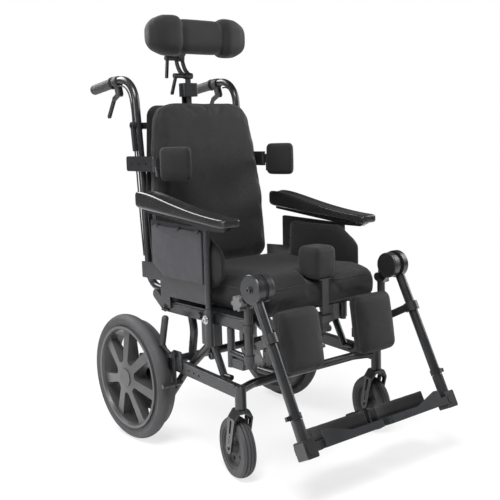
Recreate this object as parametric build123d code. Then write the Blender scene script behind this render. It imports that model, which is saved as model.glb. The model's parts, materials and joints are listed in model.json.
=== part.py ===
"""Tilt-in-space wheelchair with attendant wheels, built as separate pieces.

Millimetres. +X is the sitter's left, -Y is ahead, +Z is up and the floor is
Z = 0. Pieces are drawn on the left side and mirrored to the right one. The
rear axle is drawn at Y = AXLE_Y; at the end the whole chair is moved along Y so
that the origin lies under the middle of its box.
"""
from build123d import *
import math
import os

# --- Fits and gaps --------------------------------------------------------
RUNNING_FIT = 0.05  # radial clearance of a pin or shaft that turns or slides
WELD_GAP = 0.1  # between pieces that are welded or bolted together
SIDE_PLAY = 0.4  # between faces that slide past each other
SOFT_GAP = 0.5  # between a padded piece and what carries it

# --- Rear wheels ----------------------------------------------------------
REAR_WHEEL_DIAMETER = 400
REAR_TYRE_WIDTH = 45
REAR_TYRE_HEIGHT = 36
REAR_TRACK = 627
AXLE_Y = 200
SPOKE_COUNT = 7
SPOKE_ROOT_WIDTH = 22
SPOKE_TIP_WIDTH = 34
WHEEL_HUB_RADIUS = 33
WHEEL_HUB_LENGTH = 50
RIM_WALL = 12
WINDOW_CORNER = 12
WINDOW_INNER_RADIUS = 50
RIM_FLANGE_RADIUS = 175
RIM_BARREL_DEPTH = 48
AXLE_RADIUS = 8
AXLE_SPACER_RADIUS = 12
HUB_CAP_RADIUS = 30
HUB_CAP_DEPTH = 3

# --- Casters --------------------------------------------------------------
CASTER_DIAMETER = 175
CASTER_WIDTH = 38
CASTER_TYRE_HEIGHT = 26
CASTER_TREAD_GROOVES = 3
CASTER_GROOVE = 3
CASTER_STEM_X = 275
CASTER_STEM_Y = -308
CASTER_TRAIL = 30
CASTER_SWIVEL = 13  # how far both forks stand turned in the photograph, degrees
STEM_RADIUS = 9
FORK_PLATE = 5
FORK_GAP = 5
FORK_CROWN_TOP = 206
FORK_CROWN_THICKNESS = 10
FORK_CROWN_HALF_WIDTH = 16
FORK_SHOULDER = 24  # drop of the slanted shoulders
FORK_TOP_WIDTH = 42
FORK_FOOT_RADIUS = 16
FORK_HOLE_RADIUS = 3
FORK_SLOT_LENGTH = 44
FORK_SLOT_WIDTH = 10
HEAD_TUBE_DIAMETER = 32
HEAD_TUBE_HEIGHT = 65

# --- Base frame -----------------------------------------------------------
BASE_RAIL_X = 275
BASE_RAIL_WIDTH = 20
BASE_RAIL_HEIGHT = 36
BASE_RAIL_WALL = 2.5
BASE_RAIL_REAR = (30, 273)  # y, z of the rail's middle line
BASE_RAIL_FRONT_Z = 253
RAIL_HOLE_RADIUS = 3.2
RAIL_HOLE_STEP = 25
RAIL_HOLE_COUNT = 3
RAIL_HOLE_FIRST_Y = -78
CROSS_TUBE_DIAMETER = 25
CROSS_TUBE_WALL = 2
FRONT_CROSS_Z = 256
FRONT_CROSS_SET_BACK = 26
REAR_CROSS = (16, 281)
STRUT_X = 246
STRUT_DIAMETER = 25
STRUT_TOP = (-142, 357)
STRUT_KNEE = (0, 238)
STRUT_FOOT = (130, 98)
STRUT_HEEL_Y = 238
STRUT_PAD_Y = -46
FRONT_STRUT_DIAMETER = 22
FRONT_STRUT_TOP = (-152, 359)
FRONT_STRUT_FOOT = (-200, 268)
PEG_LENGTH = 34
PEG_DIAMETER = 16
AXLE_PLATE_THICKNESS = 6
AXLE_PLATE_WIDTH = 62
AXLE_PLATE_TOP = 262
AXLE_PLATE_BOTTOM = 84
AXLE_STAY_LAP = 40
AXLE_STAY_WIDTH = 26
PLATE_HOLE_RADIUS = 4.2
PLATE_HOLE_STEP = 25
PLATE_HOLE_FIRST_Z = 120
PLATE_HOLE_ROW = 18  # from the axle's line to each row
PLATE_HOLE_COUNT = 3

# --- Tilt pivot and column ------------------------------------------------
TILT_PIVOT = (-106, 435)
COLUMN_FRONT = -170
COLUMN_REAR = -112
COLUMN_BOTTOM = 352
COLUMN_EAR_THICKNESS = 6
PIVOT_PIN_RADIUS = 7
PIVOT_HEAD_RADIUS = 11
BUMPER_Y = -132
BUMPER_DROP = 36  # below the column's foot
BUMPER_DIAMETER = 24
BUMPER_THICKNESS = 12

# --- Seat -----------------------------------------------------------------
SEAT_RAIL_X = 245
SEAT_RAIL_WIDTH = 24
SEAT_RAIL_HEIGHT = 30
SEAT_RAIL_WALL = 2.5
SEAT_RAIL_REAR = 98
SEAT_PAN_THICKNESS = 6
SEAT_PAN_SET_BACK = 32  # behind the cushion's front
SEAT_CUSHION_HALF_WIDTH = 232
SEAT_CUSHION_THICKNESS = 99
SEAT_CUSHION_FRONT = -360
SEAT_CUSHION_REAR = 98
SEAT_LEG_X = 220.3
SEAT_CROSS_REAR_Y = 66
SEAT_CROSS_FRONT_Y = -236

# --- Leg rests ------------------------------------------------------------
POST_X = 265
POST_Y = -340
POST_DIAMETER = 24
POST_BOTTOM = 325
POST_TOP = 500
RECEIVER_RING_DIAMETER = 31
RECEIVER_LOW_Z = 350
RECEIVER_REAR_Y = -243
KNEE_PIVOT = (-385, 551)
KNEE_DISC_RADIUS = 41
KNEE_DISC_THICKNESS = 22
KNEE_CAP_RADIUS = 38
KNEE_CAP_INNER_X = 238
KNEE_RING_RADIUS = 34
KNEE_HANGER_THICKNESS = 14
LEG_LEAN = 26.3  # forward lean of the leg tubes at rest, degrees
LEG_TUBE_X = 281
LEG_TUBE_DIAMETER = 28
LEG_TUBE_END = 336  # distance from the knee pivot, along the tube
STEM_TUBE_DIAMETER = 22
COLLAR_HEIGHT = 16
STEM_LENGTH = 180  # above the hinge block
STEM_SLEEVE_RADIUS = 16
STAR_KNOB_RADIUS = 22
STAR_KNOB_LOBES = 6
STAR_KNOB_DEPTH = 20
STAR_KNOB = (-330, 507)
FOOT_PLATE_DISTANCE = 430
FOOT_PLATE_THICKNESS = 20
FOOT_PLATE_FRONT = 26  # ahead of the leg tube
FOOT_PLATE_DEPTH = 132
FOOT_PLATE_INNER_X = 11
FOOT_HINGE_X = 247
FOOT_BLOCK_WIDTH = 40
FOOT_BLOCK_HEIGHT = 48
FOOT_BLOCK_DEPTH = 40
FOOT_PIN_RADIUS = 5
HEEL_BAND_HEIGHT = 38
HEEL_BAND_THICKNESS = 3
CALF_CLAMP_DISTANCE = 138
CALF_PAD_WIDTH = 150
CALF_PAD_HEIGHT = 168
CALF_PAD_THICKNESS = 54
CALF_ARM_BACK = 84  # behind the leg tube's line
CALF_BOSS_RADIUS = 9
CALF_PAD_X = 147
CALF_PAD_FRONT_Y = -440
CALF_PAD_MIDDLE_Z = 392
CALF_PAD_LEAN = 9

# --- Arm rests ------------------------------------------------------------
ARM_POST_X = 270.3
ARM_POST_Y = -170
ARM_POST_DIAMETER = 20
ARM_SOCKET_DIAMETER = 26
ARM_SOCKET_BOTTOM = 358
ARM_SOCKET_TOP = 466
ARM_PAD_OUTER_X = 302
ARM_PAD_WIDTH = 62
ARM_PAD_FRONT_Y = -292
ARM_PAD_REAR_Y = 159
ARM_PAD_REAR_TOP = 793
ARM_PAD_REAR_THICKNESS = 55
ARM_PAD_FRONT_TOP = 731
ARM_PAD_FRONT_THICKNESS = 30
ARM_PAD_PLAN_CORNER = 22
LEFT_ARM_DROP = 33  # the left arm is set this much lower in the photograph
SIDE_PANEL_THICKNESS = 8
SIDE_PANEL_BOTTOM = 529
SIDE_SKIRT_BOTTOM = 474
SIDE_SKIRT_THICKNESS = 3
SIDE_SKIRT_REAR_Y = 38
SIDE_PANEL_REAR_Y = 112
HIP_PAD_INNER_X = 236
HIP_PAD_THICKNESS = 22
HIP_PAD_FRONT_Y = -216
HIP_PAD_REAR_Y = 30
HIP_PAD_HEIGHT = 166
HIP_PAD_BELOW_ARM = 27  # from the arm pad's front underside
LEFT_HIP_PAD_DROP = 12

# --- Pommel ---------------------------------------------------------------
POMMEL_WIDTH = 86
POMMEL_DEPTH = 84
POMMEL_HEIGHT = 92
POMMEL_BOTTOM = 541
POMMEL_COVER = 10  # of the pad ahead of the bar
POMMEL_PLATE = 4
POMMEL_RECESS_GAP = 3  # round the pad, where it sinks into the cushion
POMMEL_BAR_WIDTH = 25
POMMEL_BAR_THICKNESS = 6
POMMEL_BAR_BOTTOM = 385

# --- Back -----------------------------------------------------------------
RECLINE_PIVOT = (70, 436)
RECLINE_PLATE_Y = (38, 190)
RECLINE_PLATE_Z = (516, 572)
RECLINE_PLATE_UPRIGHT = 50
CANE_X = 205
CANE_DIAMETER = 25
CANE_HOOK = (118, 470)
CANE_HEEL = (238, 478)
CANE_WAIST = (252, 800)
CANE_SHOULDER = (283, 1150)
CANE_BENDS = (55, 400, 80)
GRIP_END = (538, 1119)
GRIP_DIAMETER = 34
GRIP_LENGTH = 128
BACK_BAR_THICKNESS = 6
BACK_BAR_WIDTH = 30
BACK_LEAN = 5
BACK_SHELL_THICKNESS = 4
BACK_CUSHION_BOTTOM = 545
BACK_CUSHION_TOP = 1062
BACK_CUSHION_REAR_Y = 196  # at the bottom
BACK_CUSHION_THICKNESS = 66
BACK_CUSHION_LOW_HALF_WIDTH = 226
BACK_CUSHION_TOP_HALF_WIDTH = 190
BACK_TUBE_RADIUS = 11
BACK_CROSS_LOW_Z = 640
BACK_CROSS_HIGH_Z = 990

# --- Lateral supports -----------------------------------------------------
LATERAL_PLATE_Z = (846, 894)
LATERAL_PLATE_Y = (165, 318)
LATERAL_PLATE_THICKNESS = 7
LATERAL_PAD_SIZE = 104
LATERAL_PAD_THICKNESS = 30
LATERAL_BAR = 6
LATERAL_LEFT = {"pad": (204, 50), "turn": -14, "reach": 50, "plate": (-24, 24)}
LATERAL_RIGHT = {"pad": (193.7, 78.4), "turn": 33, "reach": 131, "plate": (-14, 58)}

# --- Headrest -------------------------------------------------------------
HEAD_BLOCK_WIDTH = 56
HEAD_BLOCK_DEPTH = 34
HEAD_BLOCK_HEIGHT = 44
HEAD_BLOCK_Z = 1106
HEAD_BAR_Y = 272
HEAD_BAR_WIDTH = 18
HEAD_BAR_THICKNESS = 7
HEAD_BAR_BOTTOM = 1006
HEAD_JOINT_LOW_Z = 1152
HEAD_JOINT_HIGH = (318, 1213)
HEAD_LINK_THICKNESS = 6
HEAD_LINK_WIDTH = 20
HEAD_PIN_RADIUS = 4
HEAD_PAD_Y = 212
HEAD_PAD_Z = 1272
HEAD_PAD_HALF_HEIGHT = 57
HEAD_PAD_HALF_DEPTH = 38
HEAD_ROLL_HALF_LENGTH = 80
HEAD_WING_HALF_HEIGHT = 66
HEAD_WING_HALF_DEPTH = 47
HEAD_WING_LENGTH = 110
HEAD_WING_FORWARD = 8
HEAD_WING_TURN = 8
CLAMP_HEAD_RADIUS = 8
CLAMP_HEAD_LENGTH = 40
CLAMP_HANDLE_LENGTH = 62

# --- Hand levers and wheel locks ------------------------------------------
BRAKE_LEVER_PIVOT = (374, 1098)
BRAKE_LEVER_TIP = (446, 1026)
PERCH_Y = 386
LEVER_THICKNESS = 8
RELEASE_LEVER_PIVOT = (276, 992)
RELEASE_LEVER_LENGTH = 76
CABLE_DIAMETER = 5
LOCK_PIVOT_AT = (-12, 106)  # y from the wheel's front, z from its axle
LOCK_GRIP_FOOT_AT = (38, 130)
LOCK_GRIP_TOP_AT = (13, 222)
LOCK_SHOE_RISE = 16  # above the axle
LOCK_GRIP_DIAMETER = 21
LOCK_ROD_DIAMETER = 9
LOCK_SHOE_DIAMETER = 13
LOCK_SHOE_GAP = 6  # between the shoe and the tyre while the lock is off

# --- Gas spring -----------------------------------------------------------
GAS_BASE_PIN = (-258, 278)
GAS_SEAT_PIN = (46, 412)
GAS_CYLINDER_DIAMETER = 28
GAS_CYLINDER_LENGTH = 210
GAS_ROD_DIAMETER = 10
GAS_PIN_RADIUS = 5
GAS_EYE_RADIUS = 13
GAS_OPEN_CLEARANCE = 3  # round the seat's pin, where the linkage is left open

# --- Worked-out places ----------------------------------------------------
POMMEL_BAR_Y = SEAT_CUSHION_FRONT - SOFT_GAP - POMMEL_BAR_THICKNESS / 2
AXLE_Z = REAR_WHEEL_DIAMETER / 2
WHEEL_X = REAR_TRACK / 2
WHEEL_RADIUS = REAR_WHEEL_DIAMETER / 2
WHEEL_FRONT_Y = AXLE_Y - WHEEL_RADIUS
LOCK_PIVOT = (WHEEL_FRONT_Y + LOCK_PIVOT_AT[0], AXLE_Z + LOCK_PIVOT_AT[1])
LOCK_GRIP_FOOT = (WHEEL_FRONT_Y + LOCK_GRIP_FOOT_AT[0], AXLE_Z + LOCK_GRIP_FOOT_AT[1])
LOCK_GRIP_TOP = (WHEEL_FRONT_Y + LOCK_GRIP_TOP_AT[0], AXLE_Z + LOCK_GRIP_TOP_AT[1])
LOCK_SHOE_Z = AXLE_Z + LOCK_SHOE_RISE
TYRE_INNER_RADIUS = WHEEL_RADIUS - REAR_TYRE_HEIGHT
CASTER_RADIUS = CASTER_DIAMETER / 2
HEAD_TUBE_BOTTOM = FORK_CROWN_TOP + SIDE_PLAY
BASE_RAIL_INNER_X = BASE_RAIL_X - BASE_RAIL_WIDTH / 2
BASE_RAIL_OUTER_X = BASE_RAIL_X + BASE_RAIL_WIDTH / 2
SEAT_RAIL_INNER_X = SEAT_RAIL_X - SEAT_RAIL_WIDTH / 2
SEAT_RAIL_OUTER_X = SEAT_RAIL_X + SEAT_RAIL_WIDTH / 2
SEAT_RAIL_BOTTOM = TILT_PIVOT[1] - SEAT_RAIL_HEIGHT / 2
SEAT_RAIL_TOP = SEAT_RAIL_BOTTOM + SEAT_RAIL_HEIGHT
SEAT_PAN_TOP = SEAT_RAIL_TOP + WELD_GAP + SEAT_PAN_THICKNESS
ARM_PAD_REAR_BOTTOM = ARM_PAD_REAR_TOP - ARM_PAD_REAR_THICKNESS
ARM_PAD_FRONT_BOTTOM = ARM_PAD_FRONT_TOP - ARM_PAD_FRONT_THICKNESS
HIP_PAD_TOP = ARM_PAD_FRONT_BOTTOM - HIP_PAD_BELOW_ARM
HIP_PAD_BOTTOM = HIP_PAD_TOP - HIP_PAD_HEIGHT
LEG_HUB_X = POST_X + KNEE_HANGER_THICKNESS / 2 + SIDE_PLAY
STAR_KNOB_X = POST_X + POST_DIAMETER / 2 + SIDE_PLAY
AXLE_PLATE_X = BASE_RAIL_INNER_X - WELD_GAP - AXLE_PLATE_THICKNESS


# --- Drawing helpers ------------------------------------------------------
def block(x, y, z):
    """A box between two values on each axis."""
    box = Box(abs(x[1] - x[0]), abs(y[1] - y[0]), abs(z[1] - z[0]))
    return Pos((x[0] + x[1]) / 2, (y[0] + y[1]) / 2, (z[0] + z[1]) / 2) * box


def rod_x(radius, x, at):
    """A cylinder along X between two values, centred on at = (y, z)."""
    bar = Rot(0, 90, 0) * Cylinder(radius, abs(x[1] - x[0]))
    return Pos((x[0] + x[1]) / 2, at[0], at[1]) * bar


def rod_y(radius, y, at):
    """A cylinder along Y between two values, centred on at = (x, z)."""
    bar = Rot(90, 0, 0) * Cylinder(radius, abs(y[1] - y[0]))
    return Pos(at[0], (y[0] + y[1]) / 2, at[1]) * bar


def rod_z(radius, z, at):
    """A cylinder along Z between two values, centred on at = (x, y)."""
    bar = Cylinder(radius, abs(z[1] - z[0]))
    return Pos(at[0], at[1], (z[0] + z[1]) / 2) * bar


def side_plate(face, x):
    """A plate in the YZ plane, from a flat face drawn as (y, z), between two X."""
    return Pos(x[0], 0, 0) * extrude(Plane.YZ * face, x[1] - x[0], dir=(1, 0, 0))


def outline(*points):
    """A face with straight sides."""
    return make_face(Polyline(*points, close=True))


def pipe(points, diameter, bore=0, radii=None):
    """A round tube along straight runs joined by tangent arcs."""
    path = FilletPolyline(*points, radius=radii) if radii else Polyline(*points)
    start = Plane(origin=path @ 0, z_dir=path % 0)
    solid = sweep(start * Circle(diameter / 2), path=path)
    if bore:
        solid -= sweep(start * Circle(bore / 2), path=path)
    return solid


def side_pipe(x, points, diameter, bore=0, radii=None):
    """A pipe whose route lies in one YZ plane, with points given as (y, z)."""
    return pipe([(x, y, z) for y, z in points], diameter, bore, radii)


def strap(start, end, width):
    """A flat bar's face with round ends between two points, drawn as (y, z)."""
    run = Vector(*end) - Vector(*start)
    angle = math.degrees(math.atan2(run.Y, run.X))
    middle = (Vector(*start) + Vector(*end)) * 0.5
    return Pos(middle.X, middle.Y) * Rot(0, 0, angle) * SlotCenterToCenter(run.length, width)


def right(shape):
    """The right-hand copy of a piece drawn on the left."""
    return mirror(shape, about=Plane.YZ)


def both(shape):
    """A left-hand piece and its right-hand copy, as two solids."""
    return Compound([*shape.solids(), *right(shape).solids()])


def pad_face(half_width, low, high, corner, crown):
    """The section of a filled cushion: flat base, round corners, domed top."""
    lean = corner * (1 - math.sqrt(0.5))
    base = Line((-half_width + corner, low), (half_width - corner, low))
    low_right = ThreePointArc(
        base @ 1, (half_width - lean, low + lean), (half_width, low + corner)
    )
    side_right = Line(low_right @ 1, (half_width, high - corner))
    high_right = ThreePointArc(
        side_right @ 1, (half_width - lean, high - lean), (half_width - corner, high)
    )
    top = ThreePointArc(high_right @ 1, (0, high + crown), (-half_width + corner, high))
    high_left = ThreePointArc(
        top @ 1, (-half_width + lean, high - lean), (-half_width, high - corner)
    )
    side_left = Line(high_left @ 1, (-half_width, low + corner))
    low_left = ThreePointArc(side_left @ 1, (-half_width + lean, low + lean), base @ 0)
    edges = [base, low_right, side_right, high_right, top, high_left, side_left, low_left]
    return make_face(edges)


def cushion(plane, stations):
    """A soft piece lofted along the plane's normal.

    Each station is (distance, half width, low, high, corner, crown).
    """
    faces = [plane.offset(s[0]) * pad_face(*s[1:]) for s in stations]
    return loft(faces, ruled=True)


def lean_leg(shape):
    """Puts a leg-rest piece, drawn hanging from the knee pivot, at its lean."""
    return Pos(0, *KNEE_PIVOT) * Rot(-LEG_LEAN, 0, 0) * shape


def cane_y(height):
    """Where the back cane stands at a height."""
    low, high = (CANE_HEEL, CANE_WAIST) if height < CANE_WAIST[1] else (CANE_WAIST, CANE_SHOULDER)
    share = (height - low[1]) / (high[1] - low[1])
    return low[0] + share * (high[0] - low[0])


# --- Rear wheels ----------------------------------------------------------
def rear_tyre():
    """A smooth tyre with a round crown, on the left wheel."""
    half = REAR_TYRE_WIDTH / 2
    bead = half * 0.7
    shoulder = WHEEL_RADIUS - REAR_TYRE_HEIGHT / 3
    profile = make_face(
        [
            Line((-bead, TYRE_INNER_RADIUS), (bead, TYRE_INNER_RADIUS)),
            Line((bead, TYRE_INNER_RADIUS), (half, shoulder)),
            ThreePointArc((half, shoulder), (0, WHEEL_RADIUS), (-half, shoulder)),
            Line((-half, shoulder), (-bead, TYRE_INNER_RADIUS)),
        ]
    )
    ring = revolve(Plane.XY * profile, axis=Axis.X)
    return Pos(WHEEL_X, AXLE_Y, AXLE_Z) * ring


def rear_rim():
    """A one-piece wheel: hub, seven flared spokes, rim and inboard barrel."""
    rim_inner = TYRE_INNER_RADIUS - WELD_GAP - RIM_WALL
    rim_outer = TYRE_INNER_RADIUS - WELD_GAP
    hub_half = WHEEL_HUB_LENGTH / 2
    spoke_half = REAR_TYRE_WIDTH / 4
    bore = AXLE_RADIUS + RUNNING_FIT
    web = outline(
        (-hub_half, bore),
        (hub_half, bore),
        (hub_half, WHEEL_HUB_RADIUS),
        (spoke_half, rim_inner + 1),
        (-spoke_half, rim_inner + 1),
        (-hub_half, WHEEL_HUB_RADIUS),
    )
    wheel = revolve(web, axis=Axis.X)
    windows = Circle(rim_inner + 0.5) - Circle(WINDOW_INNER_RADIUS)
    spoke = outline(
        (0, -SPOKE_ROOT_WIDTH / 2),
        (rim_inner + RIM_WALL, -SPOKE_TIP_WIDTH / 2),
        (rim_inner + RIM_WALL, SPOKE_TIP_WIDTH / 2),
        (0, SPOKE_ROOT_WIDTH / 2),
    )
    for count in range(SPOKE_COUNT):
        windows -= Rot(0, 0, 90 + count * 360 / SPOKE_COUNT) * spoke
    windows = fillet(windows.vertices(), WINDOW_CORNER)
    wheel -= extrude(Plane.YZ * windows, WHEEL_HUB_LENGTH, both=True)
    half = REAR_TYRE_WIDTH / 2
    barrel = outline(
        (half, rim_inner + 3),
        (half, rim_outer),
        (-half - 1, rim_outer),
        (-half - 1, RIM_FLANGE_RADIUS),
        (-RIM_BARREL_DEPTH, RIM_FLANGE_RADIUS),
        (-RIM_BARREL_DEPTH, rim_inner + 3),
        (-half, rim_inner),
        (half * 0.6, rim_inner),
    )
    wheel += revolve(barrel, axis=Axis.X)
    cap = Pos(hub_half + HUB_CAP_DEPTH / 2, 0, 0) * Rot(0, 90, 0) * Cylinder(HUB_CAP_RADIUS, HUB_CAP_DEPTH)
    wheel += cap
    return Pos(WHEEL_X, AXLE_Y, AXLE_Z) * wheel


def rear_axles():
    """The axle stubs, each with a shoulder against its plate."""
    end = WHEEL_X + WHEEL_HUB_LENGTH / 2 - 6
    pin = rod_x(AXLE_RADIUS, (AXLE_PLATE_X - 8, end), (AXLE_Y, AXLE_Z))
    nut = Pos(AXLE_PLATE_X - 5 - WELD_GAP, AXLE_Y, AXLE_Z) * Rot(0, 90, 0) * extrude(
        RegularPolygon(13, 6), 5, both=True
    )
    spacer_x = (AXLE_PLATE_X + AXLE_PLATE_THICKNESS + WELD_GAP, WHEEL_X - WHEEL_HUB_LENGTH / 2 - SIDE_PLAY)
    return pin + nut + rod_x(AXLE_SPACER_RADIUS, spacer_x, (AXLE_Y, AXLE_Z))


# --- Casters --------------------------------------------------------------
def caster_fork():
    """A bent yoke with slanted shoulders on a stem; slotted and drilled plates."""
    inner = CASTER_WIDTH / 2 + FORK_GAP
    outer = inner + FORK_PLATE
    under = FORK_CROWN_TOP - FORK_CROWN_THICKNESS
    bend = FORK_CROWN_TOP - FORK_SHOULDER
    strip = outline(
        (-outer, 0),
        (-outer, bend),
        (-FORK_CROWN_HALF_WIDTH, FORK_CROWN_TOP),
        (FORK_CROWN_HALF_WIDTH, FORK_CROWN_TOP),
        (outer, bend),
        (outer, 0),
        (inner, 0),
        (inner, bend - 3),
        (FORK_CROWN_HALF_WIDTH - 3, under),
        (3 - FORK_CROWN_HALF_WIDTH, under),
        (-inner, bend - 3),
        (-inner, 0),
    )
    half = FORK_TOP_WIDTH / 2
    top = outline((-half, FORK_CROWN_TOP), (half, FORK_CROWN_TOP), (half, under), (-half, under))
    foot = Pos(CASTER_TRAIL, CASTER_RADIUS) * Circle(FORK_FOOT_RADIUS)
    face = make_hull((top + foot).edges())
    rise = under - CASTER_RADIUS
    slope = math.degrees(math.atan2(-rise, CASTER_TRAIL))
    slot_at = (CASTER_TRAIL * 0.4, CASTER_RADIUS + rise * 0.62)
    face -= Pos(*slot_at) * Rot(0, 0, slope) * SlotOverall(FORK_SLOT_LENGTH, FORK_SLOT_WIDTH)
    for share in (0.18, 0.26, 0.34):
        face -= Pos(CASTER_TRAIL * (1 - share), CASTER_RADIUS + rise * share) * Circle(FORK_HOLE_RADIUS)
    fork = side_plate(face, (-outer, outer)) & extrude(Plane.XZ * strip, CASTER_DIAMETER, both=True)
    stem_top = HEAD_TUBE_BOTTOM + HEAD_TUBE_HEIGHT - 6
    fork += rod_z(STEM_RADIUS, (FORK_CROWN_TOP - 1, stem_top), (0, 0))
    fork += rod_x(STEM_RADIUS / 2, (-outer - 4, outer + 4), (CASTER_TRAIL, CASTER_RADIUS))
    return fork


def caster_tyre():
    """A ribbed tyre: a rounded section with grooves round the tread."""
    half = CASTER_WIDTH / 2
    inner = CASTER_RADIUS - CASTER_TYRE_HEIGHT
    shoulder = CASTER_RADIUS - CASTER_TYRE_HEIGHT / 4
    profile = make_face(
        [
            Line((-half, inner), (half, inner)),
            Line((half, inner), (half, shoulder)),
            ThreePointArc((half, shoulder), (0, CASTER_RADIUS), (-half, shoulder)),
            Line((-half, shoulder), (-half, inner)),
        ]
    )
    step = CASTER_WIDTH / (CASTER_TREAD_GROOVES + 1)
    for count in range(CASTER_TREAD_GROOVES):
        across = (count - (CASTER_TREAD_GROOVES - 1) / 2) * step
        deep = CASTER_GROOVE * 2 + CASTER_GROOVE * abs(across) / step
        profile -= Pos(across, CASTER_RADIUS) * Rectangle(CASTER_GROOVE, deep)
    return Pos(0, CASTER_TRAIL, CASTER_RADIUS) * revolve(profile, axis=Axis.X)


def caster_hub():
    """A dished hub with five round windows and a bored boss."""
    outer = CASTER_RADIUS - CASTER_TYRE_HEIGHT - WELD_GAP
    half = CASTER_WIDTH / 2
    boss = half + FORK_GAP - SIDE_PLAY
    face = outline(
        (-boss, 0),
        (boss, 0),
        (boss, 12),
        (half / 3, 18),
        (half / 3, outer - 9),
        (half - 2, outer - 6),
        (half - 2, outer),
        (2 - half, outer),
        (2 - half, outer - 6),
        (-half / 3, outer - 9),
        (-half / 3, 18),
        (-boss, 12),
    )
    hub = revolve(face, axis=Axis.X)
    for count in range(5):
        turn = math.radians(count * 72)
        ring = (outer + 12) / 2
        hub -= rod_x(7, (-half, half), (ring * math.cos(turn), ring * math.sin(turn)))
    hub -= rod_x(STEM_RADIUS / 2 + RUNNING_FIT, (-boss - 1, boss + 1), (0, 0))
    return Pos(0, CASTER_TRAIL, CASTER_RADIUS) * hub


def place_caster(shape, side):
    """Stands a caster piece under its head tube, turned by the swivel."""
    return Pos(side * CASTER_STEM_X, CASTER_STEM_Y, 0) * Rot(0, 0, -CASTER_SWIVEL) * shape


# --- Base frame -----------------------------------------------------------
def caster_heads():
    """The two upright tubes that the caster stems turn in, closed on top."""
    top = HEAD_TUBE_BOTTOM + HEAD_TUBE_HEIGHT
    at = (CASTER_STEM_X, CASTER_STEM_Y)
    tube = rod_z(HEAD_TUBE_DIAMETER / 2, (HEAD_TUBE_BOTTOM, top), at)
    tube = fillet(tube.edges().group_by(Axis.Z)[-1], 4)
    tube -= rod_z(STEM_RADIUS + RUNNING_FIT, (HEAD_TUBE_BOTTOM - 1, top - 5), at)
    return both(tube)


def base_rail_z(y):
    """The height of the side rail's middle line."""
    run = BASE_RAIL_REAR[0] - CASTER_STEM_Y
    return BASE_RAIL_REAR[1] + (y - BASE_RAIL_REAR[0]) * (BASE_RAIL_REAR[1] - BASE_RAIL_FRONT_Z) / run


def base_side_rails():
    """Box-section rails that fall gently to the caster heads, with a row of holes."""
    rear = BASE_RAIL_REAR[0]
    half = BASE_RAIL_HEIGHT / 2
    face = outline(
        (rear, base_rail_z(rear) - half),
        (rear, base_rail_z(rear) + half),
        (CASTER_STEM_Y, base_rail_z(CASTER_STEM_Y) + half),
        (CASTER_STEM_Y, base_rail_z(CASTER_STEM_Y) - half),
    )
    inner = half - BASE_RAIL_WALL
    core = outline(
        (rear - BASE_RAIL_WALL, base_rail_z(rear) - inner),
        (rear - BASE_RAIL_WALL, base_rail_z(rear) + inner),
        (CASTER_STEM_Y, base_rail_z(CASTER_STEM_Y) + inner),
        (CASTER_STEM_Y, base_rail_z(CASTER_STEM_Y) - inner),
    )
    rail = side_plate(face, (BASE_RAIL_INNER_X, BASE_RAIL_OUTER_X))
    rail = fillet(rail.edges().filter_by(Axis.X, reverse=True).filter_by(Axis.Z, reverse=True), 2)
    rail -= side_plate(core, (BASE_RAIL_INNER_X + BASE_RAIL_WALL, BASE_RAIL_OUTER_X - BASE_RAIL_WALL))
    for count in range(RAIL_HOLE_COUNT):
        y = RAIL_HOLE_FIRST_Y - count * RAIL_HOLE_STEP
        rail -= rod_x(RAIL_HOLE_RADIUS, (BASE_RAIL_X, BASE_RAIL_OUTER_X + 1), (y, base_rail_z(y)))
    rail -= rod_z(
        HEAD_TUBE_DIAMETER / 2 + WELD_GAP, (0, 2 * BASE_RAIL_FRONT_Z), (CASTER_STEM_X, CASTER_STEM_Y)
    )
    rail = rail.solids().sort_by(Axis.Y)[-1]
    return both(rail)


def front_cross_tube():
    """The tube between the caster heads, set back in the middle."""
    reach = CASTER_STEM_X - 2
    knee = CASTER_STEM_X - 70
    front = CASTER_STEM_Y + 6
    back = front + FRONT_CROSS_SET_BACK
    points = [
        (-reach, front, FRONT_CROSS_Z),
        (-knee, back, FRONT_CROSS_Z),
        (knee, back, FRONT_CROSS_Z),
        (reach, front, FRONT_CROSS_Z),
    ]
    tube = pipe(points, CROSS_TUBE_DIAMETER, CROSS_TUBE_DIAMETER - 2 * CROSS_TUBE_WALL, [60, 60])
    for side in (-1, 1):
        at = (side * CASTER_STEM_X, CASTER_STEM_Y)
        tube -= rod_z(HEAD_TUBE_DIAMETER / 2 + WELD_GAP, (0, 2 * FRONT_CROSS_Z), at)
        rail_side = (side * (BASE_RAIL_INNER_X - WELD_GAP), side * 2 * BASE_RAIL_X)
        tube -= block(rail_side, (CASTER_STEM_Y - 50, back + 50), (0, 2 * FRONT_CROSS_Z))
    return tube.solids().sort_by(SortBy.VOLUME)[-1]


def rear_cross_tube():
    """The straight tube between the side rails, with the gas spring's lug ahead."""
    reach = AXLE_PLATE_X - WELD_GAP
    tube = rod_x(CROSS_TUBE_DIAMETER / 2, (-reach, reach), REAR_CROSS)
    return tube - rod_x(CROSS_TUBE_DIAMETER / 2 - CROSS_TUBE_WALL, (-reach, reach), REAR_CROSS)


def gas_base_lug():
    """A welded clevis on the front cross tube that holds the gas spring's eye."""
    cross_y = CASTER_STEM_Y + 6 + FRONT_CROSS_SET_BACK
    ears = None
    for side in (-1, 1):
        near = side * (GAS_EYE_RADIUS / 2 + SIDE_PLAY + 1)
        face = strap((cross_y, FRONT_CROSS_Z), GAS_BASE_PIN, 20)
        ear = side_plate(face, sorted((near, near + side * 4)))
        ears = ear if ears is None else ears + ear
    width = GAS_EYE_RADIUS / 2 + SIDE_PLAY + 5
    ears += rod_x(GAS_PIN_RADIUS, (-width - 2, width + 2), GAS_BASE_PIN)
    return ears - rod_x(CROSS_TUBE_DIAMETER / 2 + WELD_GAP, (-60, 60), (cross_y, FRONT_CROSS_Z))


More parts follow.
